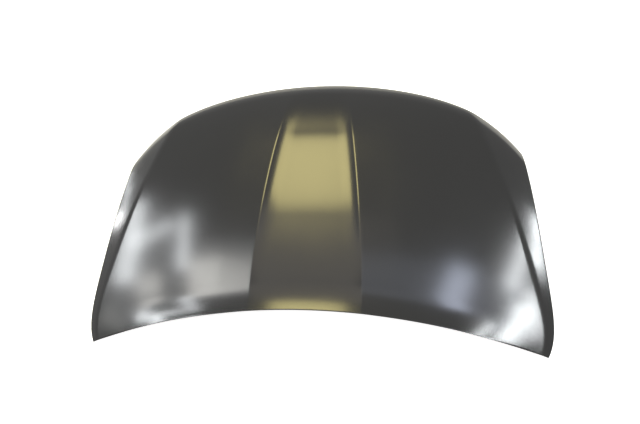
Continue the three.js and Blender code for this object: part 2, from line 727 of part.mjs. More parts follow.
// A pressed plate with both long sides turned up, standing at height z
function lippedPlate(width, length, thickness, lip, z, holes) {
  const bend = 2 * thickness;
  const half = width / 2;
  const section = new THREE.Shape();
  section.absarc(-half + bend, bend, bend, Math.PI, 1.5 * Math.PI, false);
  section.absarc(half - bend, bend, bend, -Math.PI / 2, 0, false);
  section.lineTo(half, lip);
  section.lineTo(half - thickness, lip);
  section.absarc(half - bend, bend, bend - thickness, 0, -Math.PI / 2, true);
  section.absarc(-half + bend, bend, bend - thickness, -Math.PI / 2, -Math.PI, true);
  section.lineTo(-half + thickness, lip);
  section.lineTo(-half, lip);
  const body = prism(section, length, 3).translate(0, 0, -length / 2).rotateX(Math.PI / 2).translate(0, 0, z);
  const cutters = holes.map((shape) => throughCutter(shape, 5));
  return geometryOf(cut(solidOf(body), cutters));
}

function hingePlate() {
  const holes = BOLT_OFFSETS.map((y) => circle(0, y, HINGE_BOLT_HOLE));
  return lippedPlate(
    HINGE_PLATE_WIDTH, HINGE_PLATE_LENGTH, HINGE_PLATE_THICKNESS, HINGE_PLATE_LIP, OVER_INNER, holes,
  );
}

function hexagon(acrossFlats) {
  const radius = acrossFlats / 2 / Math.cos(Math.PI / 6);
  const corners = Array.from({ length: 6 }, (_, n) => {
    const angle = (n * Math.PI) / 3;
    return new THREE.Vector2(radius * Math.cos(angle), radius * Math.sin(angle));
  });
  return new THREE.Shape(corners);
}

function hingeNut(y) {
  const z = OVER_INNER + HINGE_PLATE_THICKNESS + SEAT_GAP;
  const collar = solidOf(prism(circle(0, 0, HINGE_NUT_COLLAR), HINGE_NUT_COLLAR_HEIGHT, 8));
  const hex = solidOf(prism(hexagon(HINGE_NUT_ACROSS_FLATS), HINGE_NUT_HEIGHT));
  const bore = throughCutter(circle(0, 0, HINGE_NUT_BORE), 6);
  return geometryOf(collar.add(hex).subtract(bore)).translate(0, y, z);
}

const STRIKER_LEGS = [-STRIKER_SPAN / 2, STRIKER_SPAN / 2];

function latchPlate() {
  return lippedPlate(
    LATCH_PLATE_LENGTH, LATCH_PLATE_WIDTH, LATCH_PLATE_THICKNESS, LATCH_PLATE_LIP, OVER_INNER, [],
  ).rotateZ(Math.PI / 2);
}

function strikerBase() {
  const outline = roundedRectangle(0, 0, STRIKER_BASE_WIDTH, STRIKER_BASE_LENGTH, STRIKER_CORNER);
  STRIKER_LEGS.forEach((y) => outline.holes.push(circle(0, y, STRIKER_WIRE + 2 * STRIKER_HOLE_CLEARANCE)));
  const z = -SEAT_GAP - STRIKER_BASE_THICKNESS;
  return prism(outline, STRIKER_BASE_THICKNESS, 5).translate(0, 0, z);
}

// A bent wire whose two legs end in the base plate's holes
function strikerLoop() {
  const top = -SEAT_GAP - 0.1 * STRIKER_BASE_THICKNESS;
  const bottom = -STRIKER_DROP;
  const half = STRIKER_SPAN / 2;
  const r = STRIKER_CORNER;
  const path = new THREE.CurvePath();
  const point = (y, z) => new THREE.Vector3(0, y, z);
  path.add(new THREE.LineCurve3(point(-half, top), point(-half, bottom + r)));
  path.add(new THREE.QuadraticBezierCurve3(point(-half, bottom + r), point(-half, bottom), point(-half + r, bottom)));
  path.add(new THREE.LineCurve3(point(-half + r, bottom), point(half - r, bottom)));
  path.add(new THREE.QuadraticBezierCurve3(point(half - r, bottom), point(half, bottom), point(half, bottom + r)));
  path.add(new THREE.LineCurve3(point(half, bottom + r), point(half, top)));
  return new THREE.ExtrudeGeometry(circle(0, 0, STRIKER_WIRE), {
    steps: 28, extrudePath: path, curveSegments: 5, bevelEnabled: false,
  });
}

// Height of one face of a panel above a point of the plan
function heightOn(points, x, y) {
  for (let j = 0; j < LAST_ROW; j += 1) {
    for (let i = 0; i < LAST_COLUMN; i += 1) {
      const [a, b, c, d] = [points[j][i], points[j][i + 1], points[j + 1][i + 1], points[j + 1][i]];
      const halves = i < LAST_COLUMN / 2 ? [[a, b, d], [b, c, d]] : [[a, b, c], [a, c, d]];
      for (const [p, q, r] of halves) {
        const area = (q.x - p.x) * (r.y - p.y) - (r.x - p.x) * (q.y - p.y);
        const wq = ((x - p.x) * (r.y - p.y) - (r.x - p.x) * (y - p.y)) / area;
        const wr = ((q.x - p.x) * (y - p.y) - (x - p.x) * (q.y - p.y)) / area;
        if (wq >= -1e-6 && wr >= -1e-6 && wq + wr <= 1 + 1e-6) {
          return p.z + wq * (q.z - p.z) + wr * (r.z - p.z);
        }
      }
    }
  }
  throw new Error(`no panel above ${x}, ${y}`);
}

const skinUnderside = GRID.map((row) => row.map((place) => below(place, SKIN_THICKNESS)));

// A solid between two heights over an outline, such as a pad squeezed between sheets
function fillBetween(outline, lowerAt, upperAt) {
  const facets = new Facets();
  const centre = outline.reduce((sum, p) => sum.add(p), new THREE.Vector2()).divideScalar(outline.length);
  const ring = (heightAt) => outline.map((p) => facets.add(new THREE.Vector3(p.x, p.y, heightAt(p.x, p.y))));
  const middle = (heightAt) => facets.add(new THREE.Vector3(centre.x, centre.y, heightAt(centre.x, centre.y)));
  const lower = ring(lowerAt);
  const upper = ring(upperAt);
  const lowerMiddle = middle(lowerAt);
  const upperMiddle = middle(upperAt);
  facets.band(upper, lower);
  outline.forEach((_, k) => {
    const next = (k + 1) % outline.length;
    facets.triangles.push(upperMiddle, upper[k], upper[next], lowerMiddle, lower[next], lower[k]);
  });
  return facets.geometry();
}

function masticPad(x, y, angle) {
  const length = PAD_LENGTH - PAD_WIDTH;
  const outline = [];
  [0, Math.PI].forEach((turn) => {
    for (let step = 0; step <= 4; step += 1) {
      const a = turn - Math.PI / 2 + (step * Math.PI) / 4;
      const out = turn === 0 ? length / 2 : -length / 2;
      const local = new THREE.Vector2(out + (PAD_WIDTH / 2) * Math.cos(a), (PAD_WIDTH / 2) * Math.sin(a));
      outline.push(local.rotateAround(new THREE.Vector2(), angle).add(new THREE.Vector2(x, y)));
    }
  });
  return fillBetween(
    outline,
    (px, py) => heightOn(faces.upper, px, py) + SEAT_GAP,
    (px, py) => heightOn(skinUnderside, px, py) - SEAT_GAP,
  );
}

// A doubler over the prop slot, shaped to the channel floor that carries it
function propPlate() {
  const whole = roundedRectangle(PROP_SLOT_X, PROP_SLOT_Y, PROP_PLATE_WIDTH, PROP_PLATE_LENGTH, PROP_PLATE_CORNER);
  const outline = whole.getPoints(3);
  const body = fillBetween(
    outline.slice(0, -1),
    (px, py) => heightOn(faces.upper, px, py) + SEAT_GAP,
    (px, py) => heightOn(faces.upper, px, py) + SEAT_GAP + PROP_PLATE_THICKNESS,
  );
  const slot = roundedRectangle(PROP_SLOT_X, PROP_SLOT_Y, PROP_SLOT_WIDTH, PROP_SLOT_LENGTH, PROP_SLOT_WIDTH);
  return geometryOf(solidOf(body).subtract(throughCutter(slot, 6)));
}

// Where the pads lie: middle of each flange, turned along it
function padPlaces() {
  const slopeOf = (column, v) => {
    const step = 0.02;
    return Math.atan2(span(0) * 2 * step, column(v + step) - column(v - step));
  };
  const onColumn = (column) => (v) => {
    const s = column(v) / halfWidth(v);
    return [column(v), mix(rearY(s), noseY(s), v), slopeOf(column, v)];
  };
  const outerFlange = onColumn(fromRidge(ribEnd + FLANGE_WIDTH / 2));
  const innerFlange = onColumn(fromRidge(RIB_FROM_RIDGE - WALL_RUN - FLANGE_WIDTH / 2));
  const sideFlange = onColumn((v) => halfWidth(v) - sideChannelEnd(v) - WALL_RUN - FLANGE_WIDTH / 2);
  const along = (edgeY, half, s, inset, leanOf, sign) => {
    const slope = (edgeY(s + 0.01) - edgeY(s - 0.01)) / (0.02 * half);
    return [s * half, edgeY(s) + sign * inset * leanOf(s), Math.atan(slope)];
  };
  const rearFlange = REAR_CHANNEL_END + WALL_RUN + FLANGE_WIDTH / 2;
  const noseFlange = NOSE_CHANNEL_END + WALL_RUN + FLANGE_WIDTH / 2;
  return [
    ...RIB_OUTER_PADS_AT.map(outerFlange),
    ...RIB_INNER_PADS_AT.map(innerFlange),
    sideFlange(SIDE_PAD_AT),
    along(rearY, REAR_HALF_WIDTH, REAR_PAD_AT, rearFlange, rearLean, 1),
    along(noseY, FRONT_HALF_WIDTH, NOSE_PAD_AT, noseFlange, noseLean, -1),
  ];
}

// Assembly
function piece(name, geometry, finish) {
  const shaded = geometry.index ? geometry.toNonIndexed() : geometry;
  shaded.computeVertexNormals();
  const mesh = new THREE.Mesh(shaded, new THREE.MeshStandardMaterial(finish));
  mesh.name = name;
  return mesh;
}

const bonnet = new THREE.Group();
bonnet.add(piece('outer_panel', outerPanel(), ECOAT));
bonnet.add(piece('inner_panel', innerPanel(), ECOAT_INSIDE));
bonnet.add(piece('prop_socket_plate', propPlate(), ECOAT_INSIDE));

hingeSeats.forEach((flat, n) => {
  const side = ['left', 'right'][n];
  const group = seatGroup(flat);
  group.add(piece(`hinge_plate_${side}`, hingePlate(), ECOAT_INSIDE));
  BOLT_OFFSETS.forEach((y, m) => {
    group.add(piece(`hinge_nut_${side}_${['rear', 'front'][m]}`, hingeNut(y), ECOAT_INSIDE));
  });
  bonnet.add(group);
});

const latch = seatGroup(latchSeat);
latch.add(piece('latch_plate', latchPlate(), ECOAT_INSIDE));
latch.add(piece('striker_base', strikerBase(), ECOAT_INSIDE));
latch.add(piece('striker_loop', strikerLoop(), ECOAT_INSIDE));
bonnet.add(latch);

['left', 'right'].forEach((side) => {
  const sign = side === 'left' ? -1 : 1;
  padPlaces().forEach(([x, y, angle], n) => {
    const turned = sign < 0 ? Math.PI - angle : angle;
    bonnet.add(piece(`mastic_pad_${side}_${n + 1}`, masticPad(sign * x, y, turned), MASTIC));
  });
});

// The origin is on the floor under the middle of the bonnet's bounding box
const box = new THREE.Box3().setFromObject(bonnet);
const middle = box.getCenter(new THREE.Vector3());
bonnet.position.set(-middle.x, -middle.y, -box.min.z);

export default bonnet;
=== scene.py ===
import math

import bmesh
import bpy
import numpy as np
from mathutils import Matrix, Vector
from mathutils.bvhtree import BVHTree


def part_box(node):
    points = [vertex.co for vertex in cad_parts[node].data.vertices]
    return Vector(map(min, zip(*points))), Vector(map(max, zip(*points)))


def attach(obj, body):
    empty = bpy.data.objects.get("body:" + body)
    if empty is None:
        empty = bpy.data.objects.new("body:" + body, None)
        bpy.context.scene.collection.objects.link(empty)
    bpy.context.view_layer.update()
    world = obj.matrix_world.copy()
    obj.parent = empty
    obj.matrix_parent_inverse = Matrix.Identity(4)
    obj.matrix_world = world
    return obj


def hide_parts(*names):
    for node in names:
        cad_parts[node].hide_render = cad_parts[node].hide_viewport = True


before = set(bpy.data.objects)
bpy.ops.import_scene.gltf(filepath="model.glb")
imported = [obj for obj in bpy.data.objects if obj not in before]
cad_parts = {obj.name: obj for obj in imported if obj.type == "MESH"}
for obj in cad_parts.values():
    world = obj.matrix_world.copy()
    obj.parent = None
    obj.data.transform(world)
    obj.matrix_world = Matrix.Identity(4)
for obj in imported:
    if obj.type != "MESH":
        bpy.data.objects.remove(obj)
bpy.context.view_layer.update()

bl_info = {
    "name": "Pressed Steel Bonnet",
    "version": (1, 0, 0),
    "blender": (4, 5, 0),
    "location": "View3D > Sidebar > Bonnet",
    "description": "Dresses a hemmed steel bonnet, its ribbed inner panel and its studio",
    "category": "Mesh",
}

# All lengths are in metres. s runs across the bonnet from -1 to 1, and v runs
# from its rear edge, 0, to its nose, 1.

SKIN_LOW, SKIN_HIGH = (np.array(corner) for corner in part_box("outer_panel"))
BODY = "root"


def distance(name, description, default):
    """A length property in metres."""
    return bpy.props.FloatProperty(
        name=name, description=description, default=default, min=0.0, subtype="DISTANCE", unit="LENGTH",
        precision=4)


def number(name, description, default):
    """A plain number property."""
    return bpy.props.FloatProperty(name=name, description=description, default=default, precision=4)


def colour(name, description, default):
    """A linear colour property."""
    return bpy.props.FloatVectorProperty(
        name=name, description=description, default=default, size=3, min=0.0, max=1.0, subtype="COLOR")


class BonnetPlanSettings(bpy.types.PropertyGroup):
    """Plan outline of the outer skin"""

    length: distance("Length", "Rear tips to the middle of the nose", 0.881)
    corner_y: distance("Front corner", "Front corner, forward of the rear tips", 0.640)
    front_half_width: distance("Front half width", "Half width at the front corners", 0.654)
    rear_half_width: distance("Rear half width", "Half width at the rear tips", 0.701)
    side_bow: distance("Side bow", "Swell of the side edge", 0.073)
    tip_flare: distance("Tip flare", "How fast the side runs out from the rear tip", 0.293)
    tip_flare_power: number("Tip flare power", "How soon the flare dies out", 6.0)
    rear_hollow: distance("Rear hollow", "Depth of the curved rear edge", 0.097)
    nose_roundness: number("Nose roundness", "Share of the nose's sweep that is a parabola", 0.665)


class BonnetCrownSettings(bpy.types.PropertyGroup):
    """Crown and pressed lines of the outer skin"""

    across: distance("Crown across", "Drop of the crown by a rear tip's width", 0.0835)
    along: distance("Crown along", "Drop of the crown by the whole length", 0.116)
    peak_y: distance("Crown peak", "Where the crown is level, forward of the rear tips", 0.250)
    nose_fall: distance("Nose fall", "Extra fall at the nose", 0.036)
    nose_fall_from: distance("Nose fall start", "Where the extra fall starts", 0.450)
    ridge_half_rear: distance("Ridge, rear", "Ridge from the middle, at the rear", 0.172)
    ridge_half_front: distance("Ridge, front", "Ridge from the middle, at the nose", 0.088)
    ridge_bow: distance("Ridge bow", "Outward bow of each ridge", 0.064)
    ridge_round: distance("Ridge round", "Half width of the rounded ridge", 0.003)
    ridge_fall: number("Ridge fall", "Extra slope just outside a ridge", 0.06)
    ridge_fall_width: distance("Ridge fall width", "Width over which that slope dies out", 0.100)
    recess_depth: distance("Recess depth", "Depth of the sunken middle panel", 0.0085)
    recess_wall: distance("Recess wall", "Width of the curved wall inside a ridge", 0.056)
    recess_rear_land: distance("Recess rear land", "Flat land behind the recess", 0.015)
    recess_rear_fade: distance("Recess rear fade", "Length over which the recess deepens", 0.280)
    recess_front_end: number("Recess end", "Where the recess ends, as a share of the span", 0.97)
    recess_front_fade: number("Recess fade", "Share of the span over which it fades", 0.22)
    shoulder_rear: distance("Shoulder, rear", "Shoulder line from the side edge, at the rear", 0.017)
    shoulder_taper: distance("Shoulder taper", "Widening of the shoulder facet", 0.053)
    shoulder_sweep: distance("Shoulder sweep", "Further widening near the front", 0.087)
    shoulder_slope: number("Shoulder slope", "Extra slope of the shoulder facet", 0.22)
    shoulder_blend: distance("Shoulder blend", "Half width of the rounded shoulder line", 0.014)
    nose_roll: distance("Nose roll", "Width of the rolled nose", 0.024)
    nose_roll_slope: number("Nose roll slope", "Extra slope of the rolled nose", 0.36)
    nose_roll_blend: distance("Nose roll blend", "Half width of the roll's start", 0.022)
    rear_kick: distance("Rear kick", "Width of the lifted rear edge", 0.085)
    rear_kick_slope: number("Rear kick slope", "Slope of the lifted rear edge", 0.27)
    rear_kick_half_width: number("Rear kick end", "Where the lift ends, as a share of the half width", 0.95)
    rear_kick_fade: number("Rear kick fade", "Share of the half width over which it fades", 0.35)


class BonnetSheetSettings(bpy.types.PropertyGroup):
    """Sheet thicknesses and the hem"""

    skin: distance("Skin", "Thickness of the outer skin", 0.0007)
    inner: distance("Inner sheet", "Thickness of the inner panel", 0.0007)
    hem_gap: distance("Hem gap", "Room on each side of the inner panel in the hem", 0.00035)
    hem_width: distance("Hem width", "Width of the folded-back flange", 0.010)
    hem_land: distance("Hem land", "Where the inner panel starts to fall away", 0.012)


class BonnetInnerSettings(bpy.types.PropertyGroup):
    """Sections of the inner panel, below the skin and in from its edges"""

    channel_depth: distance("Channel depth", "Edge channels below the skin", 0.021)
    rib_depth: distance("Rib depth", "Long ribs below the skin", 0.019)
    cross_rib_depth: distance("Cross rib depth", "Cross rib below the skin", 0.015)
    corner_depth: distance("Corner depth", "Channels below the skin at a corner", 0.008)
    corner_fade: distance("Corner fade", "Length over which the channels deepen", 0.120)
    flange_depth: distance("Flange depth", "Flanges below the skin", 0.0044)
    flange_width: distance("Flange width", "Flanges beside the openings", 0.022)
    wall_run: distance("Wall run", "Plan width of a channel's wall", 0.016)
    outer_wall_run: distance("Outer wall run", "Plan width of the wall beside the hem", 0.014)
    nose_wall_run: distance("Nose wall run", "Plan width of the wall behind the nose", 0.018)
    rear_channel_end: distance("Rear channel", "Inner side of the rear channel", 0.080)
    nose_channel_end: distance("Nose channel", "Inner side of the nose channel", 0.100)
    side_channel_end: distance("Side channel", "Inner side of a side channel", 0.104)
    rib_from_ridge: distance("Rib from ridge", "Long rib outward of its ridge", 0.046)
    rib_floor: distance("Rib floor", "Floor width of a long rib", 0.038)
    cross_rib_floor: distance("Cross rib floor", "Floor width of the cross rib", 0.036)
    cross_rib_at: number("Cross rib place", "Cross rib as a share of the span", 0.5)
    edge_setback: distance("Edge setback", "Inner panel's edge, in from the fold", 0.0012)
    opening_radius: distance("Opening radius", "Corner radius of the large openings", 0.034)
    opening_lip: distance("Opening lip", "Depth of the turned-down lip", 0.0048)
    rib_hole: distance("Rib hole", "Holes along the long ribs", 0.024)
    clip_hole: distance("Clip hole", "Holes for the insulation clips", 0.008)


class BonnetSeatSettings(bpy.types.PropertyGroup):
    """Hinge seats, latch seat and prop seat with what stands on them"""

    hinge_inset: distance("Hinge inset", "Hinge seat in from the side edge", 0.077)
    hinge_setback: distance("Hinge setback", "Hinge seat forward of the rear edge", 0.109)
    hinge_depth: distance("Hinge seat depth", "Hinge seat below the skin", 0.018)
    hinge_rear: distance("Hinge seat rear", "Rear end of the seat from the rear edge", 0.054)
    hinge_length: distance("Hinge seat length", "Length of the seat", 0.140)
    hinge_outer: distance("Hinge seat side", "Outer side of the seat from the side edge", 0.044)
    bolt_pitch: distance("Bolt pitch", "Between a hinge's two bolts", 0.076)
    bolt_hole: distance("Bolt hole", "Clearance hole for a hinge bolt", 0.009)
    nut_flats: distance("Nut", "Across the flats of a weld nut", 0.013)
    nut_height: distance("Nut height", "Height of a weld nut", 0.0065)
    nut_collar: distance("Nut collar", "Collar of a weld nut", 0.017)
    nut_bore: distance("Nut bore", "Thread of a weld nut", 0.007)
    latch_inset: distance("Latch inset", "Latch seat behind the nose", 0.068)
    latch_depth: distance("Latch seat depth", "Latch seat below the skin", 0.022)
    latch_slope: bpy.props.FloatProperty(
        name="Latch slope", description="Fall of the seat to the nose", default=-0.2)
    latch_nose: distance("Latch seat front", "Front of the seat behind the nose", 0.038)
    latch_half_width: distance("Latch seat half width", "Half width of the seat", 0.062)
    seat_gap: distance("Seat gap", "Room between a seat and its plate", 0.0003)
    striker_wire: distance("Striker wire", "Wire of the striker", 0.008)
    striker_span: distance("Striker span", "Between the striker's legs", 0.032)
    striker_drop: distance("Striker drop", "Striker below its seat", 0.034)
    striker_corner: distance("Striker corner", "Bend of the striker's wire", 0.009)
    prop_at: number("Prop slot place", "Prop slot as a share of the front half width", 0.642)
    prop_inset: distance("Prop slot inset", "Prop slot behind the nose", 0.066)
    pad_length: distance("Pad length", "Length of a mastic pad", 0.036)
    pad_width: distance("Pad width", "Width of a mastic pad", 0.013)
    pad_bulge: distance("Pad bulge", "How far a squeezed pad swells", 0.0008)


class BonnetFinishSettings(bpy.types.PropertyGroup):
    """Colours and gloss"""

    skin_colour: colour("Skin colour", "Black electrocoat on the outer face", (0.0050, 0.0049, 0.0046))
    skin_roughness: number("Skin roughness", "Gloss of the outer face", 0.16)
    inner_colour: colour("Inner colour", "Black electrocoat on the hidden side", (0.017, 0.0172, 0.0165))
    inner_roughness: number("Inner roughness", "Gloss of the hidden side", 0.42)
    mastic_colour: colour("Mastic colour", "Baked mastic pads", (0.075, 0.072, 0.062))


class BonnetCameraSettings(bpy.types.PropertyGroup):
    """Camera of the photographed view"""

    target: bpy.props.FloatVectorProperty(
        name="Target", description="Point of the floor that the camera looks at", size=3,
        default=(0.0113, 0.0042, 0.0), subtype="TRANSLATION", unit="LENGTH", precision=4)
    height: distance("Height", "Height of the camera above the floor", 2.0191)
    azimuth: number("Azimuth", "Degrees that the camera stands round to the right", 26.82)
    elevation: number("Elevation", "Degrees that the camera looks down", 67.49)
    roll: number("Roll", "Degrees that the camera is turned clockwise", 25.05)
    lens: number("Lens", "Focal length in millimetres on a 36 mm sensor", 37.716)


SETTINGS = {
    "bonnet_plan": BonnetPlanSettings,
    "bonnet_crown": BonnetCrownSettings,
    "bonnet_sheet": BonnetSheetSettings,
    "bonnet_inner": BonnetInnerSettings,
    "bonnet_seats": BonnetSeatSettings,
    "bonnet_finish": BonnetFinishSettings,
    "bonnet_camera": BonnetCameraSettings,
}


def settings(name):
    """One of the scene's property groups."""
    return getattr(bpy.context.scene, name)


# Outer skin surface


def mix(a, b, t):
    """Straight blend of two values."""
    return a + (b - a) * t


def smooth(t):
    """S-shaped step from 0 to 1."""
    t = np.clip(t, 0.0, 1.0)
    return t * t * (3.0 - 2.0 * t)


def soft_ramp(t, blend):
    """A slope that starts at zero, softened over twice the blend."""
    curved = (t + blend) ** 2 / (4.0 * blend)
    return np.where(t <= -blend, 0.0, np.where(t >= blend, t, curved))


class Skin:
    """The outer skin as a surface over s and v."""

    def __init__(self):
        self.plan = settings("bonnet_plan")
        self.crown = settings("bonnet_crown")
        tip = self.pressed(1.0, 0.0)
        corner = self.pressed(1.0, 1.0)
        self.rest_slope = (tip[2] - corner[2]) / (corner[1] - tip[1])

    def half_width(self, v):
        plan = self.plan
        flare = plan.tip_flare * v * np.clip(1.0 - v, 0.0, 1.0) ** plan.tip_flare_power
        return mix(plan.rear_half_width, plan.front_half_width, v) + plan.side_bow * v * (1.0 - v) + flare

    def nose_y(self, s):
        plan = self.plan
        drop = plan.nose_roundness * s ** 2 + (1.0 - plan.nose_roundness) * s ** 6
        return plan.length - (plan.length - plan.corner_y) * drop

    def rear_y(self, s):
        return self.plan.rear_hollow * (1.0 - s ** 2)

    def span(self, s):
        return self.nose_y(s) - self.rear_y(s)

    def lean(self, edge, half_width, s):
        """How much longer a distance along Y is than the same one square to an edge."""
        step = 0.01
        inner = np.minimum(np.abs(s), 1.0) - step
        return np.hypot(1.0, (edge(inner + step) - edge(inner)) / (step * half_width))

    def nose_lean(self, s):
        return self.lean(self.nose_y, self.plan.front_half_width, s)

    def rear_lean(self, s):
        return self.lean(self.rear_y, self.plan.rear_half_width, s)

    def ridge_x(self, v):
        crown = self.crown
        return mix(crown.ridge_half_rear, crown.ridge_half_front, v) + crown.ridge_bow * v * (1.0 - v)

    def shoulder_inset(self, v):
        crown = self.crown
        return crown.shoulder_rear + crown.shoulder_taper * v + crown.shoulder_sweep * v * v

    def recess(self, x, v, from_rear):
        """Height of the sunken middle panel, its two ridges and the fall beside them."""
        crown = self.crown
        inside = self.ridge_x(v) - np.abs(x)
        beyond = np.clip(-inside, 0.0, None)
        front = smooth((crown.recess_front_end - v) / crown.recess_front_fade)
        rear = smooth((from_rear - crown.recess_rear_land) / crown.recess_rear_fade)
        wall = np.clip(1.0 - inside / crown.recess_wall, 0.0, 1.0) ** 2 - 1.0
        sunk = np.where(inside > 0.0, wall * crown.recess_depth * rear, 0.0)
        width = crown.ridge_fall_width
        near = np.minimum(beyond, width)
        fall = crown.ridge_fall * (near - near ** 2 / (2.0 * width))
        kink = 2.0 * crown.recess_depth / crown.recess_wall * rear + crown.ridge_fall
        worn = kink * (soft_ramp(-inside, crown.ridge_round) - beyond)
        return (sunk - fall - worn) * front

    def pressed(self, s, v):
        plan, crown = self.plan, self.crown
        half = self.half_width(v)
        x = s * half
        y = mix(self.rear_y(s), self.nose_y(s), v)
        from_nose = (1.0 - v) * self.span(s)
        from_rear = v * self.span(s)
        inset = self.shoulder_inset(v)
        blend = crown.shoulder_blend * np.minimum(1.0, inset / (3.0 * crown.shoulder_blend))
        z = -crown.across * (x / plan.rear_half_width) ** 2
        z = z - crown.along * ((y - crown.peak_y) / plan.length) ** 2
        fall = np.clip(y - crown.nose_fall_from, 0.0, None) / (plan.length - crown.nose_fall_from)
        z = z - crown.nose_fall * fall ** 3
        z = z - crown.shoulder_slope * soft_ramp(np.abs(x) - half + inset, blend)
        z = z - crown.nose_roll_slope * soft_ramp(crown.nose_roll - from_nose, crown.nose_roll_blend)
        kick = np.clip(crown.rear_kick - from_rear, 0.0, None) ** 2 / (2.0 * crown.rear_kick)
        fade = smooth((crown.rear_kick_half_width - np.abs(s)) / crown.rear_kick_fade)
        z = z + crown.rear_kick_slope * kick * fade + self.recess(x, v, from_rear)
        return np.stack(np.broadcast_arrays(x, y, z), axis=-1)

    def point(self, s, v):
        point = self.pressed(s, v)
        point[..., 2] += self.rest_slope * point[..., 1]
        return point

    def station(self, x, y):
        """The s and v of a point of the plan."""
        v = np.clip(y / self.plan.length, 0.0, 1.0)
        for _ in range(20):
            s = x / self.half_width(v)
            v = (y - self.rear_y(s)) / self.span(s)
        return x / self.half_width(v), v

    def height(self, x, y):
        return self.point(*self.station(x, y))[..., 2]

    def normal(self, s, v, step=0.003):
        s0, s1 = np.clip(s - step, -1.0, 1.0), np.clip(s + step, -1.0, 1.0)
        v0, v1 = np.clip(v - step, 0.0, 1.0), np.clip(v + step, 0.0, 1.0)
        across = self.point(s1, v) - self.point(s0, v)
        along = self.point(s, v1) - self.point(s, v0)
        normal = np.cross(across, along)
        return normal / np.linalg.norm(normal, axis=-1, keepdims=True)


# Grids over the skin


def fill(keys, counts):
    """Grid lines between key lines, each gap split evenly; a key is a function of one value."""
    lines = []
    for start, end, count in zip(keys, keys[1:], counts):
        for step in range(count):
            share = step / count
            lines.append(lambda t, a=start, b=end, q=share: mix(a(t), b(t), q))
    lines.append(keys[-1])
    return lines


def mirrored(half_lines):
    """Columns for both halves from the right half's, which start beside the middle."""
    left = [lambda v, line=line: -line(v) for line in reversed(half_lines)]
    return left + [lambda v: 0.0 * v] + half_lines


def grid_edge(rows, columns):
    """Grid places round the edge, counter-clockwise from above."""
    bottom = [(0, i) for i in range(columns - 1)]
    right = [(j, columns - 1) for j in range(rows - 1)]
    top = [(rows - 1, i) for i in range(columns - 1, 0, -1)]
    left = [(j, 0) for j in range(rows - 1, 0, -1)]
    return np.array(bottom + right + top + left)


class Grid:
    """Points and normals where the columns cross the rows."""

    def __init__(self, skin, columns, rows):
        start_v = np.array([float(row(np.float64(0.0))) for row in rows])
        start_s = np.stack([column(start_v) / skin.half_width(start_v) for column in columns], axis=1)
        self.v = np.stack([row(start_s[j]) + 0.0 * start_s[j] for j, row in enumerate(rows)], axis=0)
        x = np.stack([column(self.v[:, i]) + 0.0 * self.v[:, i] for i, column in enumerate(columns)], axis=1)
        self.s = x / skin.half_width(self.v)
        self.point = skin.point(self.s, self.v)
        self.normal = skin.normal(self.s, self.v)

    @property
    def shape(self):
        return self.v.shape

    def edge(self):
        return grid_edge(*self.shape)

    def outward(self, edge):
        """Mitred way out of each edge place, in the skin's tangent plane."""
        here = self.point[edge[:, 0], edge[:, 1]]
        normal = self.normal[edge[:, 0], edge[:, 1]]
        ways = []
        for start, end in ((np.roll(here, 1, axis=0), here), (here, np.roll(here, -1, axis=0))):
            way = np.cross(end - start, normal)
            ways.append(way / np.linalg.norm(way, axis=-1, keepdims=True))
        first, second = ways
        return (first + second) / (1.0 + np.sum(first * second, axis=-1, keepdims=True))


def origin_shift(points):
    """The move that brings plan coordinates to the frame, by the CAD skin's box."""
    low = points.reshape(-1, 3).min(axis=0)
    high = points.reshape(-1, 3).max(axis=0)
    shift = (SKIN_LOW + SKIN_HIGH) / 2.0 - (low + high) / 2.0
    shift[2] = SKIN_LOW[2] - low[2]
    return shift


def sheet_faces(index, up):
    """Quads of a grid of vertex numbers."""
    a, b, c, d = index[:-1, :-1], index[:-1, 1:], index[1:, 1:], index[1:, :-1]
    order = (a, b, c, d) if up else (a, d, c, b)
    return np.stack([corner.ravel() for corner in order], axis=1)


def band_faces(upper, lower):
    """Quads between two closed loops of vertex numbers, the second outside or below."""
    return np.stack([lower, np.roll(lower, -1), np.roll(upper, -1), upper], axis=1)


def mesh_object(name, points, faces):
    """A new mesh object from points and faces."""
    mesh = bpy.data.meshes.new(name)
    mesh.from_pydata(points.tolist(), [], faces)
    mesh.validate()
    piece = bpy.data.objects.new(name, mesh)
    bpy.context.scene.collection.objects.link(piece)
    return piece


def dress(piece, material, nodes):
    """Give a piece its body and its material, and hide the CAD nodes it stands for."""
    piece.data.materials.clear()
    piece.data.materials.append(material)
    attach(piece, BODY)
    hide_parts(*nodes)


# Outer panel


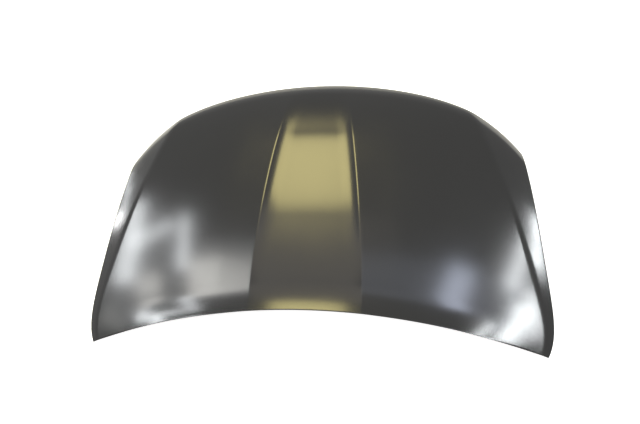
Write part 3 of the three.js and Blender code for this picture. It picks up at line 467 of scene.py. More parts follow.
def skin_grid(skin):
    """A fine grid whose lines follow the ridges, the recess and the shoulders."""
    crown = skin.crown
    sheet = settings("bonnet_sheet")
    crisp = crown.ridge_round

    def ridge(shift):
        return lambda v: skin.ridge_x(v) + shift

    def shoulder(least, shift):
        return lambda v: skin.half_width(v) - np.maximum(least, skin.shoulder_inset(v) + shift)

    land = sheet.hem_land
    keys = [
        lambda v: 0.0 * v,
        ridge(-crown.recess_wall),
        ridge(-crisp),
        ridge(crisp),
        ridge(crown.ridge_fall_width),
        shoulder(land + 0.036, crown.shoulder_blend),
        shoulder(land + 0.020, 0.0),
        shoulder(land + 0.008, -crown.shoulder_blend),
        lambda v: skin.half_width(v) - land,
        skin.half_width,
    ]
    half_columns = fill(keys, [8, 16, 6, 12, 24, 6, 6, 10, 4])[1:]

    def from_rear(inset):
        return lambda s: inset * skin.rear_lean(s) / skin.span(s)

    def from_nose(inset):
        return lambda s: 1.0 - inset * skin.nose_lean(s) / skin.span(s)

    fade_end = crown.recess_rear_land + crown.recess_rear_fade
    row_keys = [
        lambda s: 0.0 * s,
        from_rear(land),
        from_rear(fade_end),
        from_nose(0.140),
        from_nose(crown.nose_roll + crown.nose_roll_blend),
        from_nose(land),
        lambda s: 1.0 + 0.0 * s,
    ]
    rows = fill(row_keys, [4, 40, 46, 16, 12, 4])
    return Grid(skin, mirrored(half_columns), rows)


def outer_panel_mesh(skin):
    """The hemmed outer skin: outer face, underside and folded edge as one closed mesh."""
    sheet = settings("bonnet_sheet")
    grid = skin_grid(skin)
    bend_steps = 8
    inner_radius = sheet.hem_gap + sheet.inner / 2.0
    outer_radius = inner_radius + sheet.skin

    edge = grid.edge()
    rows, columns = grid.shape
    land_rows = np.clip(edge[:, 0], 4, rows - 5)
    land_columns = np.clip(edge[:, 1], 4, columns - 5)
    here = grid.point[edge[:, 0], edge[:, 1]]
    normal = grid.normal[edge[:, 0], edge[:, 1]]
    land_normal = grid.normal[land_rows, land_columns]
    land = grid.point[land_rows, land_columns]
    outward = grid.outward(edge)
    share = sheet.hem_width / sheet.hem_land

    def bend(radius, step):
        angle = math.pi * (0.5 - step / bend_steps)
        turned = outward * radius * math.cos(angle) + normal * radius * math.sin(angle)
        return here - normal * outer_radius + turned

    def tip(depth):
        return mix(here - normal * depth, land - land_normal * depth, share)

    loops = [bend(outer_radius, step) for step in range(1, bend_steps + 1)]
    loops += [tip(2.0 * outer_radius), tip(2.0 * outer_radius - sheet.skin)]
    loops += [bend(inner_radius, step) for step in range(bend_steps, 0, -1)]

    count = rows * columns
    top = np.arange(count).reshape(rows, columns)
    under = top + count
    points = [grid.point.reshape(-1, 3), (grid.point - grid.normal * sheet.skin).reshape(-1, 3)]
    ring = [top[edge[:, 0], edge[:, 1]]]
    start = 2 * count
    for loop in loops:
        points.append(loop)
        ring.append(np.arange(start, start + len(loop)))
        start += len(loop)
    ring.append(under[edge[:, 0], edge[:, 1]])
    faces = [sheet_faces(top, True), sheet_faces(under, False)]
    faces += [band_faces(a, b) for a, b in zip(ring, ring[1:])]
    return np.concatenate(points), np.concatenate(faces)


# Inner panel

ROUND_SHARE = 0.24


def ramp(value, start, run):
    """A slope from 0 at the start to 1 a run further on, round at both ends."""
    share = ((value - start) / run - ROUND_SHARE) / (1.0 - 2.0 * ROUND_SHARE)
    blend = ROUND_SHARE / (1.0 - 2.0 * ROUND_SHARE)
    return soft_ramp(share, blend) - soft_ramp(share - 1.0, blend)


class Seat:
    """A flat seat pressed into the inner panel, level with the panel's lower face."""

    def __init__(self, skin, x, y, slopes, depth):
        self.place = np.array([x, y, float(skin.height(x, y)) - depth])
        self.slopes = slopes
        across = np.array([1.0, 0.0, slopes[0]]) / math.hypot(1.0, slopes[0])
        normal = np.array([-slopes[0], -slopes[1], 1.0])
        normal = normal / np.linalg.norm(normal)
        self.axes = np.stack([across, np.cross(normal, across), normal])

    def height(self, x, y):
        return self.place[2] + self.slopes[0] * (x - self.place[0]) + self.slopes[1] * (y - self.place[1])

    def raised(self, points):
        """Points given across, along and out of the seat, put in the plan."""
        return self.place + np.asarray(points) @ self.axes


def hinge_seat(skin, side):
    """A hinge seat lies along the skin above it, set in from the side and rear edges."""
    seats = settings("bonnet_seats")
    v = 0.0
    for _ in range(20):
        s = 1.0 - seats.hinge_inset / skin.half_width(v)
        y = skin.rear_y(s) + seats.hinge_setback * skin.rear_lean(s)
        v = (y - skin.rear_y(s)) / skin.span(s)
    x = side * (skin.half_width(v) - seats.hinge_inset)
    reach = 0.023
    across = (skin.height(x + reach, y) - skin.height(x - reach, y)) / (2.0 * reach)
    along = (skin.height(x, y + reach) - skin.height(x, y - reach)) / (2.0 * reach)
    return Seat(skin, x, y, (float(across), float(along)), seats.hinge_depth)


def latch_seat(skin):
    seats = settings("bonnet_seats")
    return Seat(skin, 0.0, skin.plan.length - seats.latch_inset, (0.0, seats.latch_slope), seats.latch_depth)


class InnerPanel:
    """The ribbed inner panel: its lower and upper faces on one grid."""

    def __init__(self, skin):
        self.skin = skin
        self.cut = settings("bonnet_inner")
        self.sheet = settings("bonnet_sheet")
        self.seats = settings("bonnet_seats")
        self.hem_depth = self.sheet.skin + self.sheet.hem_gap + self.sheet.inner
        self.floor_start = self.sheet.hem_land + self.cut.outer_wall_run
        self.rib_end = self.cut.rib_from_ridge + self.cut.rib_floor + self.cut.wall_run
        self.grid = Grid(skin, self.columns(), self.rows())
        self.lower, self.upper = self.faces()

    def side_end(self, v):
        """Inner side of a side channel, which keeps outside the shoulder's round."""
        shoulder_end = self.skin.shoulder_inset(v) + self.skin.crown.shoulder_blend
        return np.maximum(self.cut.side_channel_end, shoulder_end)

    def from_ridge(self, shift):
        return lambda v: self.skin.ridge_x(v) + shift

    def from_side(self, inset):
        return lambda v: self.skin.half_width(v) - inset

    def inside_channel(self, shift):
        return lambda v: self.skin.half_width(v) - self.side_end(v) - shift

    def beside_shoulder(self, least, shift):
        return lambda v: self.skin.half_width(v) - np.maximum(least, self.skin.shoulder_inset(v) + shift)

    def from_rear(self, inset):
        return lambda s: inset * self.skin.rear_lean(s) / self.skin.span(s)

    def from_nose(self, inset):
        return lambda s: 1.0 - inset * self.skin.nose_lean(s) / self.skin.span(s)

    def beside_cross_rib(self, shift):
        return lambda s: self.cut.cross_rib_at + shift / self.skin.span(s)

    def columns(self):
        cut, blend = self.cut, self.skin.crown.shoulder_blend
        outer = self.seats.hinge_outer
        keys = [
            lambda v: 0.0 * v,
            self.from_ridge(-self.skin.crown.recess_wall),
            self.from_ridge(0.0),
            self.from_ridge(cut.rib_from_ridge - cut.wall_run),
            self.from_ridge(cut.rib_from_ridge),
            self.from_ridge(cut.rib_from_ridge + cut.rib_floor),
            self.from_ridge(self.rib_end),
            self.inside_channel(cut.wall_run),
            self.inside_channel(0.0),
            self.beside_shoulder(outer + blend, 0.0),
            self.beside_shoulder(outer, -blend),
            self.from_side(self.floor_start),
            self.from_side(self.sheet.hem_land),
            self.skin.half_width,
        ]
        return mirrored(fill(keys, [8, 8, 6, 9, 8, 9, 24, 9, 10, 6, 8, 9, 2])[1:])

    def rows(self):
        cut = self.cut
        rib = cut.cross_rib_floor / 2.0
        keys = [
            lambda s: 0.0 * s,
            self.from_rear(self.sheet.hem_land),
            self.from_rear(self.floor_start),
            self.from_rear(cut.rear_channel_end),
            self.from_rear(cut.rear_channel_end + cut.wall_run),
            self.from_rear(self.seats.hinge_rear + self.seats.hinge_length),
            self.beside_cross_rib(-rib - cut.wall_run),
            self.beside_cross_rib(-rib),
            self.beside_cross_rib(rib),
            self.beside_cross_rib(rib + cut.wall_run),
            self.from_nose(cut.nose_channel_end + cut.wall_run),
            self.from_nose(cut.nose_channel_end),
            self.from_nose(self.seats.latch_nose),
            self.from_nose(self.sheet.hem_land + cut.nose_wall_run),
            self.from_nose(self.sheet.hem_land),
            lambda s: 1.0 + 0.0 * s,
        ]
        return fill(keys, [2, 9, 12, 9, 20, 18, 9, 8, 9, 24, 9, 14, 3, 9, 2])

    def insets(self):
        """Distances of every grid place from the side, the rear edge and the nose."""
        skin, s, v = self.skin, self.grid.s, self.grid.v
        side = skin.half_width(v) * (1.0 - np.abs(s))
        rear = v * skin.span(s) / skin.rear_lean(s)
        nose = (1.0 - v) * skin.span(s) / skin.nose_lean(s)
        return side, rear, nose

    def depth(self):
        """How far the lower face lies below the skin."""
        cut, land, v = self.cut, self.sheet.hem_land, self.grid.v
        side, rear, nose = self.insets()
        from_corner = np.hypot(side, np.minimum(rear, nose))
        deepest = mix(cut.corner_depth, cut.channel_depth, smooth(from_corner / cut.corner_fade))

        def wall(inset, run):
            return mix(self.hem_depth, deepest, ramp(inset, land, run))

        def channel(away, floor, depth):
            return mix(depth, cut.flange_depth, ramp(away, floor, cut.wall_run))

        x = np.abs(self.grid.point[..., 0])
        rib = np.abs(x - self.skin.ridge_x(v) - cut.rib_from_ridge - cut.rib_floor / 2.0)
        cross = np.abs(v - cut.cross_rib_at) * self.skin.span(self.grid.s)
        walls = [
            wall(side, cut.outer_wall_run),
            wall(rear, cut.outer_wall_run),
            wall(nose, cut.nose_wall_run)]
        sections = [
            channel(side, self.side_end(v), cut.channel_depth),
            channel(rear, cut.rear_channel_end, cut.channel_depth),
            channel(nose, cut.nose_channel_end, cut.channel_depth),
            channel(rib, cut.rib_floor / 2.0, cut.rib_depth),
            channel(cross, cut.cross_rib_floor / 2.0, cut.cross_rib_depth),
        ]
        return np.minimum(np.minimum.reduce(walls), np.maximum.reduce(sections))

    def seat_shares(self):
        """How far each grid place belongs to the hinge seats and to the latch seat."""
        cut, seats = self.cut, self.seats
        side, rear, nose = self.insets()
        hinge = ramp(side, self.floor_start, seats.hinge_outer - 0.001 - self.floor_start)
        hinge = hinge * (1.0 - ramp(side, self.side_end(self.grid.v), cut.wall_run))
        hinge = hinge * ramp(rear, self.floor_start, seats.hinge_rear - 0.002 - self.floor_start)
        hinge = hinge * (1.0 - ramp(rear, seats.hinge_rear + seats.hinge_length, 0.050))
        latch = 1.0 - ramp(np.abs(self.grid.point[..., 0]), seats.latch_half_width + 0.002, 0.016)
        latch = latch * ramp(nose, self.sheet.hem_land + cut.nose_wall_run, 0.010)
        latch = latch * (1.0 - ramp(nose, cut.nose_channel_end, cut.wall_run))
        return hinge, latch

    def faces(self):
        skin, grid, sheet = self.skin, self.grid, self.sheet
        place = grid.point.copy()
        share = self.cut.edge_setback / sheet.hem_land
        rows, columns = grid.shape
        edge = grid.edge()
        land = grid.point[np.clip(edge[:, 0], 2, rows - 3), np.clip(edge[:, 1], 2, columns - 3)]
        place[edge[:, 0], edge[:, 1]] = mix(place[edge[:, 0], edge[:, 1]], land, share)
        level = place - grid.normal * self.hem_depth
        x, y = level[..., 0], level[..., 1]
        drop = self.depth() - self.hem_depth
        hinge, latch = self.seat_shares()
        for seat, of_seat in (
            (hinge_seat(skin, -1), hinge * (x < 0.0)),
            (hinge_seat(skin, 1), hinge * (x > 0.0)),
            (latch_seat(skin), latch),
        ):
            drop = mix(drop, level[..., 2] - seat.height(x, y), of_seat)
        side, rear, nose = self.insets()
        held = np.minimum(np.minimum(side, rear), nose) < sheet.hem_land + 0.0005
        held = held | (hinge > 0.999) | (latch > 0.999)
        for _ in range(4):
            around = (drop[:-2, 1:-1] + drop[2:, 1:-1] + drop[1:-1, :-2] + drop[1:-1, 2:]) / 4.0
            middle = drop[1:-1, 1:-1]
            drop[1:-1, 1:-1] = np.where(held[1:-1, 1:-1], middle, mix(middle, around, 0.5))
        lower = level.copy()
        lower[..., 2] -= drop
        across = np.gradient(lower, axis=1)
        along = np.gradient(lower, axis=0)
        normal = np.cross(across, along)
        normal = normal / np.linalg.norm(normal, axis=-1, keepdims=True)
        in_hem = np.minimum(np.minimum(side, rear), nose) < sheet.hem_land + 0.0005
        normal = np.where(in_hem[..., None], grid.normal, normal)
        return lower, lower + normal * sheet.inner

    def mesh(self):
        """Both faces and the edge between them as one closed mesh."""
        rows, columns = self.grid.shape
        count = rows * columns
        upper = np.arange(count).reshape(rows, columns)
        lower = upper + count
        edge = self.grid.edge()
        rim = band_faces(upper[edge[:, 0], edge[:, 1]], lower[edge[:, 0], edge[:, 1]])
        points = np.concatenate([self.upper.reshape(-1, 3), self.lower.reshape(-1, 3)])
        return points, np.concatenate([sheet_faces(upper, True), sheet_faces(lower, False), rim])

    def opening(self, left, right, rear, front):
        """Outline of an opening whose sides follow two columns and two rows."""
        skin = self.skin

        def place(p, q):
            guess = mix(rear(0.0), front(0.0), q)
            s = mix(left(guess), right(guess), p) / skin.half_width(guess)
            v = mix(rear(s), front(s), q)
            x = mix(left(v), right(v), p)
            here = x / skin.half_width(v)
            return np.array([x, mix(skin.rear_y(here), skin.nose_y(here), v)], dtype=float)

        radius = self.cut.opening_radius
        rp = radius / np.linalg.norm(place(0.0, 0.5) - place(1.0, 0.5))
        rq = radius / np.linalg.norm(place(0.5, 0.0) - place(0.5, 1.0))
        corners = [(1.0 - rp, rq), (1.0 - rp, 1.0 - rq), (rp, 1.0 - rq), (rp, rq)]
        outline = []
        for turn, (p, q) in enumerate(corners):
            angles = [math.radians(90.0) * (turn - 1 + step / 10.0) for step in range(11)]
            outline += [(p + rp * math.cos(angle), q + rq * math.sin(angle)) for angle in angles]
            next_p, next_q = corners[(turn + 1) % 4]
            end = (next_p + rp * math.cos(angles[-1]), next_q + rq * math.sin(angles[-1]))
            start = outline[-1]
            shares = [step / 12.0 for step in range(1, 12)]
            outline += [(mix(start[0], end[0], share), mix(start[1], end[1], share)) for share in shares]
        return np.array([place(p, q) for p, q in outline])

    def openings(self):
        """The six large openings, two in each bay."""
        cut = self.cut
        cross = cut.cross_rib_floor / 2.0 + cut.wall_run + cut.flange_width
        rear = self.from_rear(cut.rear_channel_end + cut.wall_run + cut.flange_width)
        front = self.from_nose(cut.nose_channel_end + cut.wall_run + cut.flange_width)
        middle = self.from_ridge(cut.rib_from_ridge - cut.wall_run - cut.flange_width)
        inner = self.from_ridge(self.rib_end + cut.flange_width)
        outer = self.inside_channel(cut.wall_run + cut.flange_width)
        bays = [(lambda v: -middle(v), middle), (inner, outer), (lambda v: -outer(v), lambda v: -inner(v))]
        outlines = []
        for left, right in bays:
            outlines.append(self.opening(left, right, rear, self.beside_cross_rib(-cross)))
            outlines.append(self.opening(left, right, self.beside_cross_rib(cross), front))
        return outlines

    def small_holes(self):
        """Rib holes, clip holes and the prop slot."""
        skin, cut = self.skin, self.cut
        outlines = [prop_slot(skin)]
        for side in (-1.0, 1.0):
            for v in RIB_HOLES_AT:
                x = float(skin.ridge_x(v)) + cut.rib_from_ridge + cut.rib_floor / 2.0
                s = x / float(skin.half_width(v))
                outlines.append(circle(side * x, mix(skin.rear_y(s), skin.nose_y(s), v), cut.rib_hole, 48))
            for s in CLIP_HOLES_REAR_AT:
                y = skin.rear_y(s) + CLIP_HOLE_REAR_INSET * float(skin.rear_lean(s))
                outlines.append(circle(side * s * skin.plan.rear_half_width, y, cut.clip_hole, 24))
            for s in CLIP_HOLES_NOSE_AT:
                y = skin.nose_y(s) - CLIP_HOLE_NOSE_INSET * float(skin.nose_lean(s))
                outlines.append(circle(side * s * skin.plan.front_half_width, y, cut.clip_hole, 24))
        return outlines


RIB_HOLES_AT = (0.26, 0.36, 0.62, 0.72)
CLIP_HOLES_REAR_AT = (0.17, 0.47, 0.71)
CLIP_HOLES_NOSE_AT = (0.275, 0.505)
CLIP_HOLE_REAR_INSET = 0.060
CLIP_HOLE_NOSE_INSET = 0.068


def circle(x, y, diameter, steps):
    """Outline of a round hole, counter-clockwise."""
    angles = np.arange(steps) * 2.0 * math.pi / steps
    return np.stack([x + diameter / 2.0 * np.cos(angles), y + diameter / 2.0 * np.sin(angles)], axis=1)


def round_corners(x, y, width, length, radius, steps=8):
    """Outline of a rectangle with round corners, counter-clockwise."""
    outline = []
    for turn, (right, front) in enumerate(((1, -1), (1, 1), (-1, 1), (-1, -1))):
        for step in range(steps + 1):
            angle = math.radians(90.0) * (turn - 1 + step / steps)
            outline.append((
                x + right * (width / 2.0 - radius) + radius * math.cos(angle),
                y + front * (length / 2.0 - radius) + radius * math.sin(angle)))
    return np.array(outline)


def prop_place(skin):
    """Plan place of the prop slot."""
    seats = settings("bonnet_seats")
    y = skin.nose_y(seats.prop_at) - seats.prop_inset * float(skin.nose_lean(seats.prop_at))
    return seats.prop_at * skin.plan.front_half_width, y


def prop_slot(skin):
    x, y = prop_place(skin)
    return round_corners(x, y, 0.012, 0.024, 0.0059)


def grown(outline, by):
    """An outline moved outward all round."""
    ahead = np.roll(outline, -1, axis=0) - outline
    behind = outline - np.roll(outline, 1, axis=0)
    way = ahead / np.linalg.norm(ahead, axis=1)[:, None] + behind / np.linalg.norm(behind, axis=1)[:, None]
    way = way / np.linalg.norm(way, axis=1)[:, None]
    return outline + by * np.stack([way[:, 1], -way[:, 0]], axis=1)


def loop_faces(count, size, closed):
    """Quads between loops of one size, stacked inward or upward; closed joins the last to the first."""
    ring = np.arange(count * size).reshape(count, size)
    pairs = list(zip(ring, ring[1:])) + ([(ring[-1], ring[0])] if closed else [])
    return np.concatenate([band_faces(after, before) for before, after in pairs]).tolist()


def stacked(loops, closed=False):
    """A closed solid from loops: joined end to end, or capped by its first and last loop."""
    size = len(loops[0])
    faces = loop_faces(len(loops), size, closed)
    if not closed:
        last = (len(loops) - 1) * size
        faces.append(list(range(size))[::-1])
        faces.append(list(range(last, last + size)))
    return np.concatenate(loops), faces


def prism(outline, low=-0.4, high=0.4, seat=None):
    """A cutter over an outline, straight down or square to a seat."""
    loops = [np.column_stack([outline, np.full(len(outline), z)]) for z in (low, high)]
    if seat is not None:
        loops = [seat.raised(loop) for loop in loops]
    return stacked(loops)


def joined(solids):
    """Several solids as one mesh."""
    points, faces, start = [], [], 0
    for some_points, some_faces in solids:
        points.append(some_points)
        faces += [[corner + start for corner in face] for face in some_faces]
        start += len(some_points)
    return np.concatenate(points), faces


def carve(piece, cutters):
    """Cut a piece with solids."""
    points, faces = joined(cutters)
    tool = mesh_object("cutter", points, faces)
    change = piece.modifiers.new("cut", "BOOLEAN")
    change.operation = "DIFFERENCE"
    change.solver = "MANIFOLD"
    change.object = tool
    graph = bpy.context.evaluated_depsgraph_get()
    cut_mesh = bpy.data.meshes.new_from_object(piece.evaluated_get(graph))
    piece.modifiers.clear()
    piece.data = cut_mesh
    bpy.data.objects.remove(tool)


def soften(piece, angle):
    """Shade a piece smooth up to an angle in degrees."""
    piece.data.shade_smooth()
    piece.data.set_sharp_from_angle(angle=math.radians(angle))


class Tops:
    """Heights of a mesh above and below points of the plan."""

    def __init__(self, points, faces):
        self.tree = BVHTree.FromPolygons(points.tolist(), [list(map(int, face)) for face in faces])

    def look(self, x, y, start, way):
        hit = self.tree.ray_cast(Vector((x, y, start)), Vector((0.0, 0.0, way)))[0]
        if hit is None:
            raise RuntimeError("no sheet over the point")
        return hit.z

    def top(self, x, y):
        return self.look(x, y, 1.0, -1.0)

    def underside(self, x, y):
        return self.look(x, y, -1.0, 1.0)


# Bend radius of an opening's lip, in sheet thicknesses
LIP_BEND = 2.6


def opening_lip(outline, heights):
    """The rolled lip of an opening, from the flange round and down."""
    inner = settings("bonnet_inner")
    thick = settings("bonnet_sheet").inner
    bend = LIP_BEND * thick

    def rolled(radius, degrees):
        return [(bend - radius * math.sin(a), radius * math.cos(a) - bend) for a in np.radians(degrees)]

    section = [(bend, 0.0)]
    section += rolled(bend, (22.5, 45.0, 67.5, 90.0))
    section += [(0.0, -inner.opening_lip), (thick, -inner.opening_lip)]
    section += rolled(bend - thick, (90.0, 67.5, 45.0, 22.5, 0.0))
    top = np.array([heights.top(x, y) for x, y in grown(outline, bend)])
    loops = [np.column_stack([grown(outline, out), top + up]) for out, up in section]
    return stacked(loops[::-1], closed=True)


# Fittings on the seats. A lipped plate is width, length, thickness and lip height, and a flat
# plate is width, length, thickness and corner.

HINGE_PLATE = (0.046, 0.112, 0.0015, 0.009)
LATCH_PLATE = (0.050, 0.124, 0.0012, 0.007)
STRIKER_FOOT = (0.044, 0.056, 0.0025, 0.009)
PROP_PLATE = (0.034, 0.046, 0.0012, 0.005)
STRIKER_HOLE_CLEARANCE = 0.0012
HOLE_DEPTH = 0.02
THREAD_PITCH = 0.00125


def lipped_plate(width, length, thickness, lip, z, corner=0.005):
    """A pressed plate with both long sides turned up and round ends on them."""
    bend = 2.0 * thickness
    flat = width / 2.0 - bend
    arc = bend * math.pi / 2.0
    reach = flat + arc + lip - bend
    half = np.concatenate([
        np.linspace(0.0, flat, 7)[1:], flat + np.linspace(0.0, arc, 7)[1:],
        flat + arc + (lip - bend) * np.array([0.2, 0.45, 0.7, 0.85, 0.94, 1.0])])
    run = np.concatenate([-half[::-1], [0.0], half])
    away = np.abs(run)
    angle = np.clip((away - flat) / bend, 0.0, math.pi / 2.0)
    rise = np.clip(away - flat - arc, 0.0, None)
    x = np.sign(run) * (np.minimum(away, flat) + bend * np.sin(angle))
    height = bend * (1.0 - np.cos(angle)) + rise
    inward = np.stack([-np.sign(run) * np.sin(angle), np.cos(angle)], axis=1)
    cut_back = np.clip(away - (reach - corner), 0.0, None)
    end = length / 2.0 - corner + np.sqrt(np.clip(corner ** 2 - cut_back ** 2, 0.0, None))
    share = np.linspace(-1.0, 1.0, 25)
    y = share[:, None] * end[None, :]
    outer = np.stack(np.broadcast_arrays(x[None, :], y, z + height[None, :]), axis=-1)
    shift = np.stack([inward[:, 0], 0.0 * run, inward[:, 1]], axis=1)[None, :, :] * thickness
    inner = outer + shift
    rows, columns = y.shape
    top = np.arange(rows * columns).reshape(rows, columns)
    under = top + rows * columns
    edge = grid_edge(rows, columns)
    rim = band_faces(top[edge[:, 0], edge[:, 1]], under[edge[:, 0], edge[:, 1]])
    points = np.concatenate([inner.reshape(-1, 3), outer.reshape(-1, 3)])
    return points, np.concatenate([sheet_faces(top, True), sheet_faces(under, False), rim]).tolist()


def slab(outline, low, high, edge=0.0004):
    """A flat plate over an outline with its edges broken all round."""
    steps = ((low, -edge), (low + 0.4 * edge, -0.25 * edge), (low + edge, 0.0))
    steps += ((high - edge, 0.0), (high - 0.4 * edge, -0.25 * edge), (high, -edge))
    return stacked([np.column_stack([grown(outline, by), np.full(len(outline), z)]) for z, by in steps])


def weld_nut(y, z):
    """A hexagon weld nut on its collar, with a chamfered top and a cut thread."""
    seats = settings("bonnet_seats")
    turn = np.arange(48) / 48.0
    angle = turn * 2.0 * math.pi
    flats = seats.nut_flats / 2.0
    hexagon = flats / np.cos(np.radians((turn * 360.0) % 60.0 - 30.0))
    collar, tall, bore = seats.nut_collar / 2.0, seats.nut_height, seats.nut_bore / 2.0
    rings = [(collar - 0.0003, 0.0), (collar, 0.0003), (collar, 0.0009), (collar - 0.0003, 0.0012)]
    rings += [(hexagon + 0.0002, 0.0012), (hexagon, 0.0015)]
    for reach, below in ((1.155, 0.0012), (1.07, 0.0005), (0.97, 0.0)):
        rings.append((np.minimum(hexagon, reach * flats), tall - below))
    rings.append((bore + 0.0006, tall))
    for share in np.linspace(0.93, 0.07, 30):
        tooth = np.abs(((share * tall / THREAD_PITCH + turn) % 1.0) * 2.0 - 1.0)
        rings.append((bore + 0.0005 * tooth, share * tall))
    rings.append((bore + 0.0006, 0.0))
    loops = []
    for radius, up in rings:
        height = np.full(len(turn), z + up)
        loops.append(np.column_stack([radius * np.cos(angle), y + radius * np.sin(angle), height]))
    return stacked(loops, closed=True)


def striker_path():
    """Middle line of the striker's wire, down one leg, across and up the other."""
    seats = settings("bonnet_seats")
    half, bend = seats.striker_span / 2.0, seats.striker_corner
    top, bottom = -seats.seat_gap - 0.0004, -seats.striker_drop
    turns = [(math.sin(a), math.cos(a)) for a in np.radians(range(9, 91, 9))]
    path = [(-half, z) for z in np.linspace(top, bottom + bend, 6)]
    path += [(-half + bend * (1.0 - cos), bottom + bend * (1.0 - sin)) for sin, cos in turns]
    path += [(y, bottom) for y in np.linspace(-half + bend, half - bend, 5)[1:]]
    path += [(half - bend + bend * sin, bottom + bend * (1.0 - cos)) for sin, cos in turns]
    path += [(half, z) for z in np.linspace(bottom + bend, top, 6)[1:]]
    return np.array(path)


def striker_wire():
    """Round wire swept along the striker's path, with broken ends."""
    radius = settings("bonnet_seats").striker_wire / 2.0
    path = striker_path()
    way = np.gradient(path, axis=0)
    way = way / np.linalg.norm(way, axis=1)[:, None]
    angle = np.arange(32) * 2.0 * math.pi / 32.0
    widths = np.full(len(path), radius)
    widths[[0, -1]] = radius - 0.0004
    loops = []
    for (y, z), (dy, dz), wide in zip(path, way, widths):
        side = wide * np.sin(angle)
        loops.append(np.column_stack([wide * np.cos(angle), y - dz * side, z + dy * side]))
    return stacked(loops[::-1])


# Section of a weld bead: how far out and how far down, in bead widths
BEAD_SECTION = (
    (-0.3, 0.0), (1.0, 0.0), (1.05, 0.16), (0.82, 0.5), (0.45, 0.86), (0.12, 1.0), (-0.3, 1.02))


def weld_bead(y, z, radius, width=0.0022, ripples=26):
    """A fillet weld round a striker leg, with the ripples of its passes."""
    turn = np.arange(104) / 104.0
    angle = turn * 2.0 * math.pi
    ripple = 1.0 + 0.10 * np.abs(np.sin(math.pi * ripples * turn)) + 0.06 * np.sin(2.0 * angle + 0.7)
    loops = []
    for out, down in BEAD_SECTION:
        reach = radius + out * width * np.where(out > 0.0, ripple, 1.0)
        drop = z - down * width * ripple
        loops.append(np.column_stack([reach * np.cos(angle), y + reach * np.sin(angle), drop]))
    return stacked(loops[::-1], closed=True)


# Mastic pads and the prop plate, which follow the sheets they lie between

RIB_OUTER_PADS_AT = (0.24, 0.34, 0.66)
RIB_INNER_PADS_AT = (0.3, 0.66)
REAR_PAD_AT = 0.57
NOSE_PAD_AT = 0.505
SIDE_PAD_AT = 0.68


def pad_places(panel):
    """Middle and turn of each pad of the right half."""
    skin, cut = panel.skin, panel.cut
    half_flange = cut.flange_width / 2.0
    places = []

    def on_column(column, v):
        s = column(v) / skin.half_width(v)
        turn = math.atan2(skin.span(0.0) * 0.04, column(v + 0.02) - column(v - 0.02))
        places.append((float(column(v)), float(mix(skin.rear_y(s), skin.nose_y(s), v)), turn))

    def along(edge, half, s, inset):
        turn = math.atan((edge(s + 0.01) - edge(s - 0.01)) / (0.02 * half))
        places.append((s * half, float(edge(s) + inset), turn))

    for v in RIB_OUTER_PADS_AT:
        on_column(panel.from_ridge(panel.rib_end + half_flange), v)
    for v in RIB_INNER_PADS_AT:
        on_column(panel.from_ridge(cut.rib_from_ridge - cut.wall_run - half_flange), v)
    on_column(panel.inside_channel(cut.wall_run + half_flange), SIDE_PAD_AT)
    inset = (cut.rear_channel_end + cut.wall_run + half_flange) * float(skin.rear_lean(REAR_PAD_AT))
    along(skin.rear_y, skin.plan.rear_half_width, REAR_PAD_AT, inset)
    inset = (cut.nose_channel_end + cut.wall_run + half_flange) * float(skin.nose_lean(NOSE_PAD_AT))
    along(skin.nose_y, skin.plan.front_half_width, NOSE_PAD_AT, -inset)
    return places


def between(outline, low_at, high_at, bulges):
    """A solid whose two faces follow two heights; bulges are outward moves from low to high."""
    middle = outline.mean(axis=0)
    loops = []

    def level(flat, share):
        low = np.array([low_at(x, y) for x, y in flat])
        high = np.array([high_at(x, y) for x, y in flat])
        loops.append(np.column_stack([flat, mix(low, high, share)]))

    for size in (0.12, 0.45, 0.8):
        level(mix(middle, grown(outline, bulges[0]), size), 0.0)
    for step, bulge in enumerate(bulges):
        level(grown(outline, bulge), step / (len(bulges) - 1))
    for size in (0.8, 0.45, 0.12):
        level(mix(middle, grown(outline, bulges[-1]), size), 1.0)
    return stacked(loops)


def mastic_pad(x, y, turn, seed, inner_tops, skin_tops):
    """A pad of mastic squeezed between the sheets, swollen at its sides."""
    seats = settings("bonnet_seats")
    outline = round_corners(0.0, 0.0, seats.pad_length, seats.pad_width, seats.pad_width / 2.0 - 0.0001)
    step = np.arange(len(outline)) * 2.0 * math.pi / len(outline)
    wander = 0.0003 * np.sin(3.0 * step + seed) + 0.0002 * np.sin(7.0 * step + 2.0 * seed)
    outline = outline * (1.0 + wander / 0.010)[:, None]
    turned = np.array([[math.cos(turn), math.sin(turn)], [-math.sin(turn), math.cos(turn)]])
    outline = outline @ turned + np.array([x, y])
    swell = seats.pad_bulge
    bulges = [swell * share for share in (-1.0, -0.35, 0.3, 0.75, 1.0, 0.75, 0.3, -0.35, -1.0)]
    gap = 0.0001
    return between(
        outline,
        lambda px, py: inner_tops.top(px, py) + gap,
        lambda px, py: skin_tops.underside(px, py) - gap,
        bulges)


# Materials


def shader(name, base, roughness):
    """A principled material with its node tree."""
    material = bpy.data.materials.new(name)
    material.use_nodes = True
    tree = material.node_tree
    principled = tree.nodes["Principled BSDF"]
    principled.inputs["Base Color"].default_value = (*base, 1.0)
    principled.inputs["Roughness"].default_value = roughness
    return material, tree, principled


def noise(tree, scale, detail=3.0):
    """Noise over the object's own coordinates."""
    place = tree.nodes.new("ShaderNodeTexCoord")
    texture = tree.nodes.new("ShaderNodeTexNoise")
    texture.inputs["Scale"].default_value = scale
    texture.inputs["Detail"].default_value = detail
    tree.links.new(place.outputs["Object"], texture.inputs["Vector"])
    return texture


